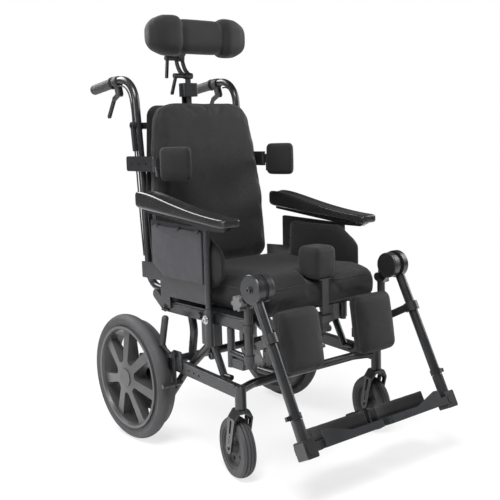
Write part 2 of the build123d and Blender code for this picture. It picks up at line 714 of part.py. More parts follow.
def column_struts():
    """Bent rear tubes from the columns to the axle plates, and short front legs."""
    points = [STRUT_TOP, STRUT_KNEE, STRUT_FOOT, (STRUT_HEEL_Y, STRUT_FOOT[1])]
    bends = [160, 70]
    over = block((0, 2 * STRUT_X), (-300, 0), (COLUMN_BOTTOM - WELD_GAP, COLUMN_BOTTOM + 90))
    rear = side_pipe(STRUT_X, points, STRUT_DIAMETER, STRUT_DIAMETER - 4, bends) - over
    front = side_pipe(STRUT_X, [FRONT_STRUT_TOP, FRONT_STRUT_FOOT], FRONT_STRUT_DIAMETER)
    peg_y = (FRONT_STRUT_FOOT[0] - PEG_LENGTH, FRONT_STRUT_FOOT[0])
    front += rod_y(PEG_DIAMETER / 2, peg_y, (STRUT_X, FRONT_STRUT_FOOT[1] + 4))
    front -= over
    front -= side_pipe(STRUT_X, points, STRUT_DIAMETER + 2 * WELD_GAP, 0, bends)
    near = STRUT_X + STRUT_DIAMETER / 2 - 6
    pad_x = (near, BASE_RAIL_INNER_X - WELD_GAP)
    rear += rod_x(9, pad_x, (STRUT_PAD_Y, base_rail_z(STRUT_PAD_Y)))
    front += rod_x(9, pad_x, (FRONT_STRUT_FOOT[0], base_rail_z(FRONT_STRUT_FOOT[0])))
    front = front.solids().sort_by(SortBy.VOLUME)[-1]
    return Compound([*both(rear).solids(), *both(front).solids()])


def axle_plates():
    """Upright plates with two rows of axle holes, each with a stay to its side rail."""
    half = AXLE_PLATE_WIDTH / 2
    height = AXLE_PLATE_TOP - AXLE_PLATE_BOTTOM
    middle = (AXLE_PLATE_TOP + AXLE_PLATE_BOTTOM) / 2
    face = Pos(AXLE_Y, middle) * RectangleRounded(2 * half, height, 10)
    stay_front = BASE_RAIL_REAR[0] - AXLE_STAY_LAP
    face += strap((stay_front, base_rail_z(stay_front)), (AXLE_Y, AXLE_PLATE_TOP - 16), AXLE_STAY_WIDTH)
    face -= Pos(AXLE_Y, AXLE_Z) * Circle(AXLE_RADIUS + WELD_GAP)
    for row in (-1, 1):
        for count in range(PLATE_HOLE_COUNT):
            z = PLATE_HOLE_FIRST_Z + count * PLATE_HOLE_STEP
            face -= Pos(AXLE_Y + row * PLATE_HOLE_ROW, z) * Circle(PLATE_HOLE_RADIUS)
    return both(side_plate(face, (AXLE_PLATE_X, AXLE_PLATE_X + AXLE_PLATE_THICKNESS)))


# --- Tilt columns ---------------------------------------------------------
def tilt_columns():
    """Box posts under the seat rails, with an ear behind that holds the pivot."""
    top = SEAT_RAIL_BOTTOM - SIDE_PLAY
    x = (SEAT_RAIL_INNER_X, SEAT_RAIL_OUTER_X - WELD_GAP)
    post = block(x, (COLUMN_FRONT, COLUMN_REAR), (COLUMN_BOTTOM, top))
    ear_x = (SEAT_RAIL_INNER_X - SIDE_PLAY - COLUMN_EAR_THICKNESS, SEAT_RAIL_INNER_X - SIDE_PLAY)
    ear = outline(
        (COLUMN_FRONT, COLUMN_BOTTOM),
        (COLUMN_FRONT, top),
        (TILT_PIVOT[0] - 16, TILT_PIVOT[1] + 8),
        (TILT_PIVOT[0] + 14, TILT_PIVOT[1] + 8),
        (TILT_PIVOT[0] + 14, TILT_PIVOT[1] - 12),
        (COLUMN_REAR, COLUMN_BOTTOM),
    )
    post += side_plate(ear, ear_x)
    post += block((ear_x[0], x[0] + 1), (COLUMN_FRONT, COLUMN_REAR), (COLUMN_BOTTOM, top))
    tab = strap((BUMPER_Y, COLUMN_BOTTOM + 10), (BUMPER_Y, COLUMN_BOTTOM - BUMPER_DROP), BUMPER_DIAMETER - 4)
    post += side_plate(tab, ear_x)
    post -= rod_x(PIVOT_PIN_RADIUS + WELD_GAP, (ear_x[0] - 1, x[0]), TILT_PIVOT)
    return post


def tilt_pivot_pins():
    """Hex-headed pins: fixed in the columns' ears, a running fit in the rails."""
    ear_x = SEAT_RAIL_INNER_X - SIDE_PLAY - COLUMN_EAR_THICKNESS
    head_x = SEAT_RAIL_OUTER_X + SIDE_PLAY
    pin = rod_x(PIVOT_PIN_RADIUS, (ear_x, head_x + 2), TILT_PIVOT)
    head = Plane.YZ.offset(head_x) * Pos(*TILT_PIVOT) * RegularPolygon(PIVOT_HEAD_RADIUS, 6)
    pin += extrude(head, 7)
    return both(pin)


def tilt_stop_bumpers():
    """Round rubber stops on the tabs under the columns."""
    tab_x = SEAT_RAIL_INNER_X - SIDE_PLAY + WELD_GAP
    at = (BUMPER_Y, COLUMN_BOTTOM - BUMPER_DROP)
    disc = rod_x(BUMPER_DIAMETER / 2, (tab_x, tab_x + BUMPER_THICKNESS), at)
    disc = fillet(disc.edges().group_by(Axis.X)[-1], 3)
    disc -= rod_x(BUMPER_DIAMETER / 4, (tab_x + BUMPER_THICKNESS - 3, tab_x + BUMPER_THICKNESS), at)
    return both(disc)


# --- Gas spring -----------------------------------------------------------
GAS_RUN = (GAS_SEAT_PIN[0] - GAS_BASE_PIN[0], GAS_SEAT_PIN[1] - GAS_BASE_PIN[1])
GAS_LENGTH = math.hypot(*GAS_RUN)
GAS_SLOPE = math.degrees(math.atan2(GAS_RUN[1], GAS_RUN[0]))


def place_gas(shape):
    """Lays a piece drawn along +Y from the base pin on the spring's line."""
    return Pos(0, *GAS_BASE_PIN) * Rot(GAS_SLOPE, 0, 0) * shape


def gas_cylinder():
    """The pressure tube, its neck and the eye on the base's pin."""
    width = GAS_EYE_RADIUS / 2
    start = GAS_EYE_RADIUS + 6
    end = start + GAS_CYLINDER_LENGTH
    body = rod_y(GAS_CYLINDER_DIAMETER / 2, (start, end), (0, 0))
    body = chamfer(body.edges().filter_by(GeomType.CIRCLE), 2)
    body += rod_y(GAS_CYLINDER_DIAMETER / 4, (GAS_EYE_RADIUS - 3, start), (0, 0))
    body += rod_x(GAS_EYE_RADIUS, (-width, width), (0, 0))
    body -= rod_x(GAS_PIN_RADIUS + RUNNING_FIT, (-width - 1, width + 1), (0, 0))
    body -= rod_y(GAS_ROD_DIAMETER / 2 + RUNNING_FIT, (start + 30, end + 1), (0, 0))
    return place_gas(body)


def gas_rod():
    """The rod and the open eye that surrounds the seat's pin with clearance."""
    width = GAS_EYE_RADIUS / 2
    inside = GAS_EYE_RADIUS + 6 + 100
    rod = rod_y(GAS_ROD_DIAMETER / 2, (inside, GAS_LENGTH - GAS_EYE_RADIUS + 2), (0, 0))
    rod += rod_x(GAS_EYE_RADIUS + 1, (-width, width), (GAS_LENGTH, 0))
    rod -= rod_x(GAS_PIN_RADIUS + GAS_OPEN_CLEARANCE, (-width - 1, width + 1), (GAS_LENGTH, 0))
    return place_gas(rod)


# --- Seat frame -----------------------------------------------------------
def seat_rails():
    """Box-section rails with the tilt bores, and the round front noses."""
    y = (POST_Y + RECEIVER_RING_DIAMETER / 2 - 3, SEAT_RAIL_REAR)
    z = (SEAT_RAIL_BOTTOM, SEAT_RAIL_TOP)
    rail = block((SEAT_RAIL_INNER_X, SEAT_RAIL_OUTER_X), y, z)
    rail = fillet(rail.edges().filter_by(Axis.Y), 3)
    wall = SEAT_RAIL_WALL
    core_y = (y[0] + wall, y[1] - wall)
    core_z = (z[0] + wall, z[1] - wall)
    rail -= block((SEAT_RAIL_INNER_X + wall, SEAT_RAIL_OUTER_X - wall), core_y, core_z)
    bush = (SEAT_RAIL_INNER_X + 0.5, SEAT_RAIL_OUTER_X - 0.5)
    rail += rod_x(PIVOT_PIN_RADIUS + 4, bush, TILT_PIVOT)
    rail -= rod_x(PIVOT_PIN_RADIUS + RUNNING_FIT, (0, 2 * SEAT_RAIL_X), TILT_PIVOT)
    rail -= rod_x(PIVOT_PIN_RADIUS - 1, (SEAT_RAIL_X, 2 * SEAT_RAIL_X), RECLINE_PIVOT)
    at = (POST_X, POST_Y)
    rail -= rod_z(RECEIVER_RING_DIAMETER / 2 + WELD_GAP, z, at)
    return both(rail.solids().sort_by(SortBy.VOLUME)[-1])


def seat_cross_tubes():
    """Two tubes between the seat rails."""
    reach = SEAT_RAIL_INNER_X - WELD_GAP
    mid = TILT_PIVOT[1]
    tubes = []
    for y in (SEAT_CROSS_REAR_Y, SEAT_CROSS_FRONT_Y):
        tube = rod_x(11, (-reach, reach), (y, mid))
        tubes.append((tube - rod_x(9, (-reach, reach), (y, mid))).solid())
    return Compound(tubes)


def gas_seat_lug():
    """The clevis under the rear seat tube, with the gas spring's upper pin."""
    lug = None
    centre = (SEAT_CROSS_REAR_Y, TILT_PIVOT[1])
    for side in (-1, 1):
        near = side * (GAS_EYE_RADIUS / 2 + 2)
        ear = side_plate(strap(centre, GAS_SEAT_PIN, 22), sorted((near, near + side * 4)))
        lug = ear if lug is None else lug + ear
    width = GAS_EYE_RADIUS / 2 + 8
    lug += rod_x(GAS_PIN_RADIUS, (-width, width), GAS_SEAT_PIN)
    return lug - rod_x(11 + WELD_GAP, (-60, 60), centre)


def seat_legs():
    """Curved legs under the rail that come to rest on the rear cross tube."""
    reach = CROSS_TUBE_DIAMETER + 0.3
    foot = (REAR_CROSS[0] - reach, REAR_CROSS[1] - 6)
    points = [(-4, SEAT_RAIL_TOP - 4), (-22, 370), (foot[0], REAR_CROSS[1] + 26), foot]
    tube = side_pipe(SEAT_LEG_X, points, CROSS_TUBE_DIAMETER, CROSS_TUBE_DIAMETER - 4, [90, 60])
    return both(tube)


def seat_pan():
    """A pressed plate on the rails with two rows of lightening slots."""
    half = SEAT_RAIL_OUTER_X - 4
    y = (SEAT_CUSHION_FRONT + SEAT_PAN_SET_BACK, SEAT_CUSHION_REAR - 4)
    face = Pos(0, (y[0] + y[1]) / 2) * RectangleRounded(2 * half, y[1] - y[0], 14)
    for column in (-1, 1):
        for row in range(3):
            face -= Pos(column * 110, y[0] + 110 + row * 110) * SlotOverall(120, 22)
    pan = extrude(face, SEAT_PAN_THICKNESS)
    return Pos(0, 0, SEAT_RAIL_TOP + WELD_GAP) * pan


def seat_cushion():
    """A contoured cushion: domed top, round edges and a rolled front."""
    plane = Plane(origin=(0, SEAT_CUSHION_REAR, 0), x_dir=(1, 0, 0), z_dir=(0, -1, 0))
    low = SEAT_PAN_TOP + SOFT_GAP
    high = low + SEAT_CUSHION_THICKNESS
    half = SEAT_CUSHION_HALF_WIDTH
    length = SEAT_CUSHION_REAR - SEAT_CUSHION_FRONT
    stations = [
        (0, half - 8, low + 6, high - 20, 16, 4),
        (18, half, low, high - 10, 22, 7),
        (length * 0.5, half, low, high - 12, 28, 9),
        (length - 60, half, low, high - 6, 28, 6),
        (length - 22, half - 2, low, high - 12, 26, 5),
        (length, half - 12, low + 6, high - 34, 16, 4),
    ]
    recess_x = POMMEL_WIDTH / 2 + POMMEL_RECESS_GAP
    recess_rear = POMMEL_BAR_Y - POMMEL_COVER + POMMEL_DEPTH + POMMEL_RECESS_GAP
    recess_z = (POMMEL_BOTTOM - SOFT_GAP - POMMEL_PLATE - POMMEL_RECESS_GAP, high + SEAT_CUSHION_THICKNESS)
    recess = block((-recess_x, recess_x), (2 * SEAT_CUSHION_FRONT, recess_rear), recess_z)
    return cushion(plane, stations) - recess


def leg_receivers():
    """Frames that carry the leg-rest posts: two rings, an arm and a rear post."""
    rear = (SEAT_RAIL_X + 6, RECEIVER_REAR_Y)
    frame = rod_z(11, (RECEIVER_LOW_Z - 42, SEAT_RAIL_BOTTOM - WELD_GAP), rear)
    ring_r = RECEIVER_RING_DIAMETER / 2
    arm = pipe([(rear[0], rear[1], RECEIVER_LOW_Z), (POST_X, POST_Y, RECEIVER_LOW_Z)], 20)
    ring = rod_z(ring_r, (RECEIVER_LOW_Z - 12, RECEIVER_LOW_Z + 12), (POST_X, POST_Y))
    frame += arm + ring
    bracket = block(
        (rear[0] - 22, rear[0] + 6), (POST_Y + 40, rear[1] - 4), (RECEIVER_LOW_Z - 42, RECEIVER_LOW_Z - 14)
    )
    frame += bracket
    frame -= rod_z(POST_DIAMETER / 2 + RUNNING_FIT, (0, 2 * RECEIVER_LOW_Z), (POST_X, POST_Y))
    top = rod_z(ring_r, (SEAT_RAIL_BOTTOM + 4, SEAT_RAIL_TOP - 4), (POST_X, POST_Y))
    top -= rod_z(POST_DIAMETER / 2 + RUNNING_FIT, (SEAT_RAIL_BOTTOM, SEAT_RAIL_TOP), (POST_X, POST_Y))
    return Compound([*both(frame).solids(), *both(top).solids()])


def arm_sockets():
    """Upright sockets on the outer faces of the seat rails."""
    at = (ARM_POST_X, ARM_POST_Y)
    socket = rod_z(ARM_SOCKET_DIAMETER / 2, (ARM_SOCKET_BOTTOM, ARM_SOCKET_TOP), at)
    socket -= rod_z(ARM_POST_DIAMETER / 2 + RUNNING_FIT, (ARM_SOCKET_BOTTOM - 1, ARM_SOCKET_TOP + 1), at)
    return both(socket)


# --- Wheel locks ----------------------------------------------------------
LOCK_SHOE_Y = (
    AXLE_Y
    - math.sqrt(WHEEL_RADIUS**2 - (LOCK_SHOE_Z - AXLE_Z) ** 2)
    - LOCK_SHOE_GAP
    - LOCK_SHOE_DIAMETER / 2
)
LOCK_PLATE = 4
LOCK_BRACKET_X = BASE_RAIL_OUTER_X + WELD_GAP
LOCK_SHOE_X = LOCK_BRACKET_X + LOCK_PLATE + SIDE_PLAY
LOCK_LEVER_X = LOCK_SHOE_X + LOCK_PLATE + SIDE_PLAY
LOCK_PIN_RADIUS = 4


def wheel_lock_bracket():
    """The plate bolted to the rail's outer face, with the lever's pin."""
    y, z = LOCK_PIVOT
    face = Pos(y - 12, z - 16) * RectangleRounded(46, 58, 8)
    bracket = side_plate(face, (LOCK_BRACKET_X, LOCK_BRACKET_X + LOCK_PLATE))
    bracket += rod_x(LOCK_PIN_RADIUS, (LOCK_BRACKET_X, LOCK_LEVER_X + LOCK_PLATE + 2), LOCK_PIVOT)
    return bracket


def wheel_lock_shoe():
    """Two flat arms down to a round bar that presses across the tyre."""
    foot = (LOCK_SHOE_Y, LOCK_SHOE_Z)
    arm = side_plate(strap(LOCK_PIVOT, foot, 15), (LOCK_SHOE_X, LOCK_SHOE_X + LOCK_PLATE))
    arm += rod_x(LOCK_SHOE_DIAMETER / 2, (BASE_RAIL_X - 8, WHEEL_X + REAR_TYRE_WIDTH / 2), foot)
    return arm - rod_x(LOCK_PIN_RADIUS + RUNNING_FIT, (LOCK_SHOE_X - 1, LOCK_LEVER_X), LOCK_PIVOT)


def wheel_lock_lever():
    """A cranked rod with a rubber grip."""
    x = LOCK_LEVER_X
    boss = side_plate(Pos(*LOCK_PIVOT) * Circle(11), (x, x + LOCK_PLATE))
    rod_middle = x + LOCK_ROD_DIAMETER / 2 + 0.5
    start = (LOCK_PIVOT[0] + 9, LOCK_PIVOT[1] + 4)
    bend = (LOCK_GRIP_FOOT[0] - 8, LOCK_GRIP_FOOT[1] + 30)
    rod = side_pipe(rod_middle, [start, LOCK_GRIP_FOOT, bend], LOCK_ROD_DIAMETER, 0, [10])
    rod -= rod_x(LOCK_PIN_RADIUS + 1, (x - 1, x + 2 * LOCK_ROD_DIAMETER), LOCK_PIVOT)
    boss -= rod_x(LOCK_PIN_RADIUS + RUNNING_FIT, (x - 1, x + LOCK_PLATE + 1), LOCK_PIVOT)
    grip = side_pipe(rod_middle, [LOCK_GRIP_FOOT, LOCK_GRIP_TOP], LOCK_GRIP_DIAMETER)
    grip = fillet(grip.edges().group_by(Axis.Z)[-1], 7)
    return boss + rod + grip


# --- Leg rests ------------------------------------------------------------
def leg_hanger():
    """The swing-away post, its side plate, the knee pin and the knob's stud."""
    half = KNEE_HANGER_THICKNESS / 2
    hanger = rod_z(POST_DIAMETER / 2, (POST_BOTTOM, POST_TOP), (POST_X, POST_Y))
    neck = strap(KNEE_PIVOT, (POST_Y, POST_TOP), POST_DIAMETER + 4)
    neck += Pos(*STAR_KNOB) * Circle(STAR_KNOB_RADIUS * 0.6)
    neck += Pos(*KNEE_PIVOT) * Circle(KNEE_DISC_RADIUS * 0.7)
    hanger += side_plate(neck, (POST_X - half, POST_X + half))
    cap = rod_x(KNEE_CAP_RADIUS, (KNEE_CAP_INNER_X, POST_X - half + 1), KNEE_PIVOT)
    cap = fillet(cap.edges().group_by(Axis.X)[0], 4)
    hanger += cap + rod_x(KNEE_RING_RADIUS, (POST_X - half, POST_X), KNEE_PIVOT)
    pin_end = LEG_HUB_X + KNEE_DISC_THICKNESS + 3
    hanger += rod_x(PIVOT_PIN_RADIUS, (POST_X, pin_end), KNEE_PIVOT)
    hanger += rod_x(4, (POST_X, STAR_KNOB_X + STAR_KNOB_DEPTH - 4), STAR_KNOB)
    return hanger


def star_knob():
    """A lobed clamping knob on the hanger's stud."""
    lobe_ring = STAR_KNOB_RADIUS * 0.72
    face = Circle(lobe_ring)
    for count in range(STAR_KNOB_LOBES):
        turn = math.radians(count * 360 / STAR_KNOB_LOBES)
        at = (lobe_ring * math.cos(turn), lobe_ring * math.sin(turn))
        face += Pos(*at) * Circle(STAR_KNOB_RADIUS - lobe_ring)
    knob = side_plate(Pos(*STAR_KNOB) * face, (STAR_KNOB_X, STAR_KNOB_X + STAR_KNOB_DEPTH))
    return knob - rod_x(4 + RUNNING_FIT, (STAR_KNOB_X - 1, STAR_KNOB_X + STAR_KNOB_DEPTH - 3), STAR_KNOB)


def leg_tube():
    """Knee disc, tube and clamping collar with its small tab."""
    hub = rod_x(KNEE_DISC_RADIUS, (LEG_HUB_X, LEG_HUB_X + KNEE_DISC_THICKNESS), (0, 0))
    hub = fillet(hub.edges().group_by(Axis.X)[-1], 5)
    at = (LEG_TUBE_X, 0)
    radius = LEG_TUBE_DIAMETER / 2
    leg = hub + rod_z(radius, (-LEG_TUBE_END, -KNEE_DISC_RADIUS * 0.86), at)
    leg += rod_z(radius + 3, (-LEG_TUBE_END - COLLAR_HEIGHT, -LEG_TUBE_END), at)
    tab_z = (-LEG_TUBE_END - COLLAR_HEIGHT + 2, -LEG_TUBE_END - 2)
    leg += block((LEG_TUBE_X + radius, LEG_TUBE_X + radius + 18), (-4, 4), tab_z)
    bore_z = (-LEG_TUBE_END - COLLAR_HEIGHT - 1, -KNEE_DISC_RADIUS - 12)
    leg -= rod_z(STEM_TUBE_DIAMETER / 2 + RUNNING_FIT, bore_z, at)
    return lean_leg(leg - rod_x(PIVOT_PIN_RADIUS + RUNNING_FIT, (0, 2 * POST_X), (0, 0)))


def foot_stem():
    """The sliding stem with the footplate's hinge block, ears and pin."""
    at = (LEG_TUBE_X, 0)
    block_top = -FOOT_PLATE_DISTANCE + FOOT_BLOCK_HEIGHT / 2
    half_x = FOOT_BLOCK_WIDTH / 2
    half_y = FOOT_BLOCK_DEPTH / 2
    foot = block(
        (LEG_TUBE_X - half_x, LEG_TUBE_X + half_x),
        (-half_y, half_y),
        (block_top - FOOT_BLOCK_HEIGHT, block_top),
    )
    foot = fillet(foot.edges().filter_by(Axis.Y), 5)
    foot += rod_z(STEM_TUBE_DIAMETER / 2, (block_top - 1, block_top + STEM_LENGTH), at)
    sleeve_top = -LEG_TUBE_END - COLLAR_HEIGHT - 2 * SIDE_PLAY
    foot += rod_z(STEM_SLEEVE_RADIUS, (block_top - 1, sleeve_top), at)
    pin_z = -FOOT_PLATE_DISTANCE
    for side in (-1, 1):
        ear_y = sorted((side * (half_y - 6), side * half_y))
        foot += rod_y(FOOT_PLATE_THICKNESS / 2 + 1, ear_y, (FOOT_HINGE_X, pin_z))
        ear_z = (pin_z - FOOT_PLATE_THICKNESS / 2 - 1, pin_z + FOOT_PLATE_THICKNESS / 2 + 1)
        foot += block((FOOT_HINGE_X, LEG_TUBE_X), ear_y, ear_z)
    foot += rod_y(FOOT_PIN_RADIUS, (-half_y, half_y), (FOOT_HINGE_X, pin_z))
    foot += rod_y(half_x * 0.7, (-half_y - 1.5, -half_y + 1), (LEG_TUBE_X, pin_z))
    return lean_leg(foot)


def foot_plate():
    """A flip-up plate with a raised front gusset, ribs below and its knuckle."""
    thick = FOOT_PLATE_THICKNESS / 2
    pin = (FOOT_HINGE_X, -FOOT_PLATE_DISTANCE)
    root = FOOT_HINGE_X - thick - 3
    rear = FOOT_PLATE_DEPTH - FOOT_PLATE_FRONT
    half_knuckle = FOOT_BLOCK_DEPTH / 2 - 6 - SIDE_PLAY / 2
    face = Pos((FOOT_PLATE_INNER_X + root) / 2, (rear - FOOT_PLATE_FRONT) / 2) * Rectangle(
        root - FOOT_PLATE_INNER_X, FOOT_PLATE_DEPTH
    )
    face = fillet(face.vertices().group_by(Axis.X)[0], 12)
    plate = Pos(0, 0, pin[1] - thick) * extrude(face, 2 * thick)
    pocket = Pos((FOOT_PLATE_INNER_X + root) / 2, (rear - FOOT_PLATE_FRONT) / 2)
    for count in range(3):
        shift = (count - 1) * 68
        hollow = pocket * Pos(shift, 0) * RectangleRounded(58, FOOT_PLATE_DEPTH - 20, 8)
        plate -= Pos(0, 0, pin[1] - thick) * extrude(hollow, thick * 1.3)
    rib_top = pin[1] + thick
    gusset = Plane.XZ * outline(
        (root - 108, rib_top - 1),
        (root, rib_top - 1),
        (root, rib_top + 24),
        (root - 20, rib_top + 26),
    )
    plate += Pos(0, -FOOT_PLATE_FRONT + 4, 0) * extrude(gusset, 4, dir=(0, -1, 0))
    plate += rod_y(thick, (-half_knuckle, half_knuckle), pin)
    plate += block((root - 2, pin[0]), (-half_knuckle, half_knuckle), (pin[1] - thick, pin[1] + thick))
    plate -= rod_y(FOOT_PIN_RADIUS + RUNNING_FIT, (-half_knuckle - 1, half_knuckle + 1), pin)
    return plate


def heel_band():
    """The webbing loop that stands behind the heel on the plate."""
    low = -FOOT_PLATE_DISTANCE + FOOT_PLATE_THICKNESS / 2 + WELD_GAP
    rear = FOOT_PLATE_DEPTH - FOOT_PLATE_FRONT
    outer = FOOT_HINGE_X - 24
    inner = FOOT_PLATE_INNER_X + 12
    middle = (outer + inner) / 2
    route = [
        Line((outer, 30), (outer, 55)),
        ThreePointArc((outer, 55), (middle, rear - 6), (inner, 55)),
        Line((inner, 55), (inner, 30)),
    ]
    face = trace(Wire(route).edges(), HEEL_BAND_THICKNESS)
    return Pos(0, 0, low) * extrude(face, HEEL_BAND_HEIGHT)


def calf_arm():
    """Clamp ring, cranked bar with adjusting holes and the stud under the pad."""
    z = -CALF_CLAMP_DISTANCE
    outer = LEG_TUBE_DIAMETER / 2 + 7
    arm = rod_z(outer, (z - 13, z + 13), (LEG_TUBE_X, 0))
    bar_x = LEG_TUBE_X - outer + 5
    back_y = CALF_ARM_BACK
    arm += block((bar_x - 5, bar_x), (0, back_y), (z - 11, z + 11))
    bar = block((CALF_PAD_X - 30, bar_x), (back_y - 5, back_y), (z - 11, z + 11))
    for count in range(4):
        bar -= rod_y(3.2, (back_y - 6, back_y + 1), (CALF_PAD_X + 30 + 18 * count, z))
    arm += bar
    arm -= rod_z(LEG_TUBE_DIAMETER / 2 + RUNNING_FIT, (z - 20, z + 20), (LEG_TUBE_X, 0))
    turn = math.radians(CALF_PAD_LEAN)
    back = Plane(
        origin=(CALF_PAD_X, CALF_PAD_FRONT_Y + CALF_PAD_THICKNESS, CALF_PAD_MIDDLE_Z),
        z_dir=(0, math.cos(turn), -math.sin(turn)),
    )
    boss = back.offset(SOFT_GAP) * extrude(Circle(CALF_BOSS_RADIUS), 14)
    return lean_leg(arm) + boss


def calf_pad():
    """An upright calf cushion: rounded block with a domed front."""
    turn = math.radians(CALF_PAD_LEAN)
    up = Vector(0, math.sin(turn), math.cos(turn))
    low = Vector(CALF_PAD_X, CALF_PAD_FRONT_Y + CALF_PAD_THICKNESS, CALF_PAD_MIDDLE_Z)
    low -= up * (CALF_PAD_HEIGHT / 2)
    plane = Plane(origin=low, x_dir=(-1, 0, 0), z_dir=up)
    half = CALF_PAD_WIDTH / 2
    thick = CALF_PAD_THICKNESS
    stations = [
        (0, half - 12, 4, thick - 12, 10, 3),
        (14, half - 3, 0, thick - 5, 16, 5),
        (CALF_PAD_HEIGHT / 2, half, 0, thick - 5, 18, 5),
        (CALF_PAD_HEIGHT - 14, half - 3, 0, thick - 5, 16, 5),
        (CALF_PAD_HEIGHT, half - 12, 4, thick - 12, 10, 3),
    ]
    return cushion(plane, stations)


# --- Arm rests ------------------------------------------------------------
def arm_pad():
    """A moulded gutter arm pad: thick raised rear, thin front, scooped top."""
    rear, front = ARM_PAD_REAR_Y, ARM_PAD_FRONT_Y
    face = make_face(
        [
            Line((front + 8, ARM_PAD_FRONT_BOTTOM), (rear - 12, ARM_PAD_REAR_BOTTOM)),
            ThreePointArc(
                (rear - 12, ARM_PAD_REAR_BOTTOM), (rear, ARM_PAD_REAR_TOP - 30), (rear - 14, ARM_PAD_REAR_TOP)
            ),
            Line((rear - 14, ARM_PAD_REAR_TOP), (rear - 60, ARM_PAD_REAR_TOP - 3)),
            ThreePointArc(
                (rear - 60, ARM_PAD_REAR_TOP - 3),
                (-60, (ARM_PAD_REAR_TOP + ARM_PAD_FRONT_TOP) / 2 - 14),
                (front + 12, ARM_PAD_FRONT_TOP),
            ),
            ThreePointArc(
                (front + 12, ARM_PAD_FRONT_TOP),
                (front, (ARM_PAD_FRONT_TOP + ARM_PAD_FRONT_BOTTOM) / 2),
                (front + 8, ARM_PAD_FRONT_BOTTOM),
            ),
        ]
    )
    inner = ARM_PAD_OUTER_X - ARM_PAD_WIDTH
    pad = side_plate(face, (inner, ARM_PAD_OUTER_X))
    middle = (inner + ARM_PAD_OUTER_X) / 2
    plan = Pos(middle, (front + rear) / 2) * RectangleRounded(ARM_PAD_WIDTH, rear - front, ARM_PAD_PLAN_CORNER)
    pad &= extrude(plan, 2 * ARM_PAD_REAR_TOP)
    scoop_radius = 42
    depth = 9
    reach = scoop_radius - depth
    scoop = pipe(
        [
            (middle, front + 34, ARM_PAD_FRONT_TOP + reach + 4),
            (middle, -60, (ARM_PAD_REAR_TOP + ARM_PAD_FRONT_TOP) / 2 - 16 + reach),
            (middle, rear - 66, ARM_PAD_REAR_TOP - 6 + reach),
        ],
        2 * scoop_radius,
        0,
        [300],
    )
    return pad - scoop


def arm_frame():
    """Post, rail under the pad and the side panel hung from them."""
    slope = (ARM_PAD_REAR_BOTTOM - ARM_PAD_FRONT_BOTTOM) / (ARM_PAD_REAR_Y - ARM_PAD_FRONT_Y)
    rail_ends = (ARM_PAD_FRONT_Y + 14, ARM_PAD_REAR_Y - 20)
    top = [ARM_PAD_FRONT_BOTTOM + slope * (y - ARM_PAD_FRONT_Y) - 1 for y in rail_ends]
    half = ARM_POST_DIAMETER / 2
    face = outline(
        (rail_ends[0], top[0]),
        (rail_ends[1], top[1]),
        (rail_ends[1], top[1] - 7),
        (ARM_POST_Y + 30, top[0] - 2),
        (ARM_POST_Y + 14, top[0] - 10),
        (rail_ends[0] + 20, top[0] - 10),
    )
    x = (ARM_POST_X - half, ARM_POST_X + half)
    frame = rod_z(half, (ARM_SOCKET_BOTTOM + 24, top[0]), (ARM_POST_X, ARM_POST_Y))
    frame += side_plate(face, x)
    half_panel = SIDE_PANEL_THICKNESS / 2
    front = ARM_POST_Y + ARM_SOCKET_DIAMETER / 2 + 2
    panel_face = outline(
        (front, SIDE_PANEL_BOTTOM),
        (front, top[0] - 12),
        (front + 16, top[0] - 4),
        (SIDE_PANEL_REAR_Y, top[0] + 4),
        (SIDE_PANEL_REAR_Y + 2, SIDE_PANEL_BOTTOM + 43),
        (SIDE_SKIRT_REAR_Y + 3, SIDE_PANEL_BOTTOM + 5),
    )
    panel_face = fillet(panel_face.vertices(), 7)
    panel_x = ARM_POST_X - 1 - half_panel
    panel = side_plate(panel_face, (panel_x, panel_x + SIDE_PANEL_THICKNESS))
    skirt = outline(
        (front, SIDE_SKIRT_BOTTOM),
        (front, SIDE_PANEL_BOTTOM + 20),
        (SIDE_SKIRT_REAR_Y, SIDE_PANEL_BOTTOM + 20),
        (SIDE_SKIRT_REAR_Y - 4, SIDE_SKIRT_BOTTOM),
    )
    panel += side_plate(skirt, (panel_x, panel_x + SIDE_SKIRT_THICKNESS))
    pad_side = HIP_PAD_INNER_X + HIP_PAD_THICKNESS + SOFT_GAP
    for y in (HIP_PAD_REAR_Y - 40, ARM_POST_Y + 60):
        panel += rod_x(9, (pad_side, panel_x + 1), (y, (HIP_PAD_BOTTOM + HIP_PAD_TOP) / 2))
    tie_y = (ARM_POST_Y, front + 3)
    for z in (SIDE_PANEL_BOTTOM + 12, ARM_PAD_FRONT_BOTTOM - 70):
        panel += block((ARM_POST_X - 4, ARM_POST_X + 2), tie_y, (z - 10, z + 10))
    panel -= rod_z(half + WELD_GAP, (0, ARM_PAD_REAR_TOP), (ARM_POST_X, ARM_POST_Y))
    return Compound([*frame.solids(), panel.solids().sort_by(SortBy.VOLUME)[-1]])


def hip_pad():
    """The padded guard inside the side panel, with rounded front corners."""
    plane = Plane(
        origin=(HIP_PAD_INNER_X + HIP_PAD_THICKNESS, HIP_PAD_REAR_Y, (HIP_PAD_BOTTOM + HIP_PAD_TOP) / 2),
        x_dir=(0, 0, 1),
        z_dir=(0, -1, 0),
    )
    length = HIP_PAD_REAR_Y - HIP_PAD_FRONT_Y
    half = (HIP_PAD_TOP - HIP_PAD_BOTTOM) / 2
    thick = HIP_PAD_THICKNESS
    stations = [
        (0, half - 8, 2, thick - 5, 6, 1),
        (14, half, 0, thick - 2, 8, 2),
        (length - 62, half, 0, thick - 2, 8, 2),
        (length - 14, half - 36, 0, thick - 2, 8, 2),
        (length, half - 52, 2, thick - 6, 5, 1),
    ]
    return cushion(plane, stations)


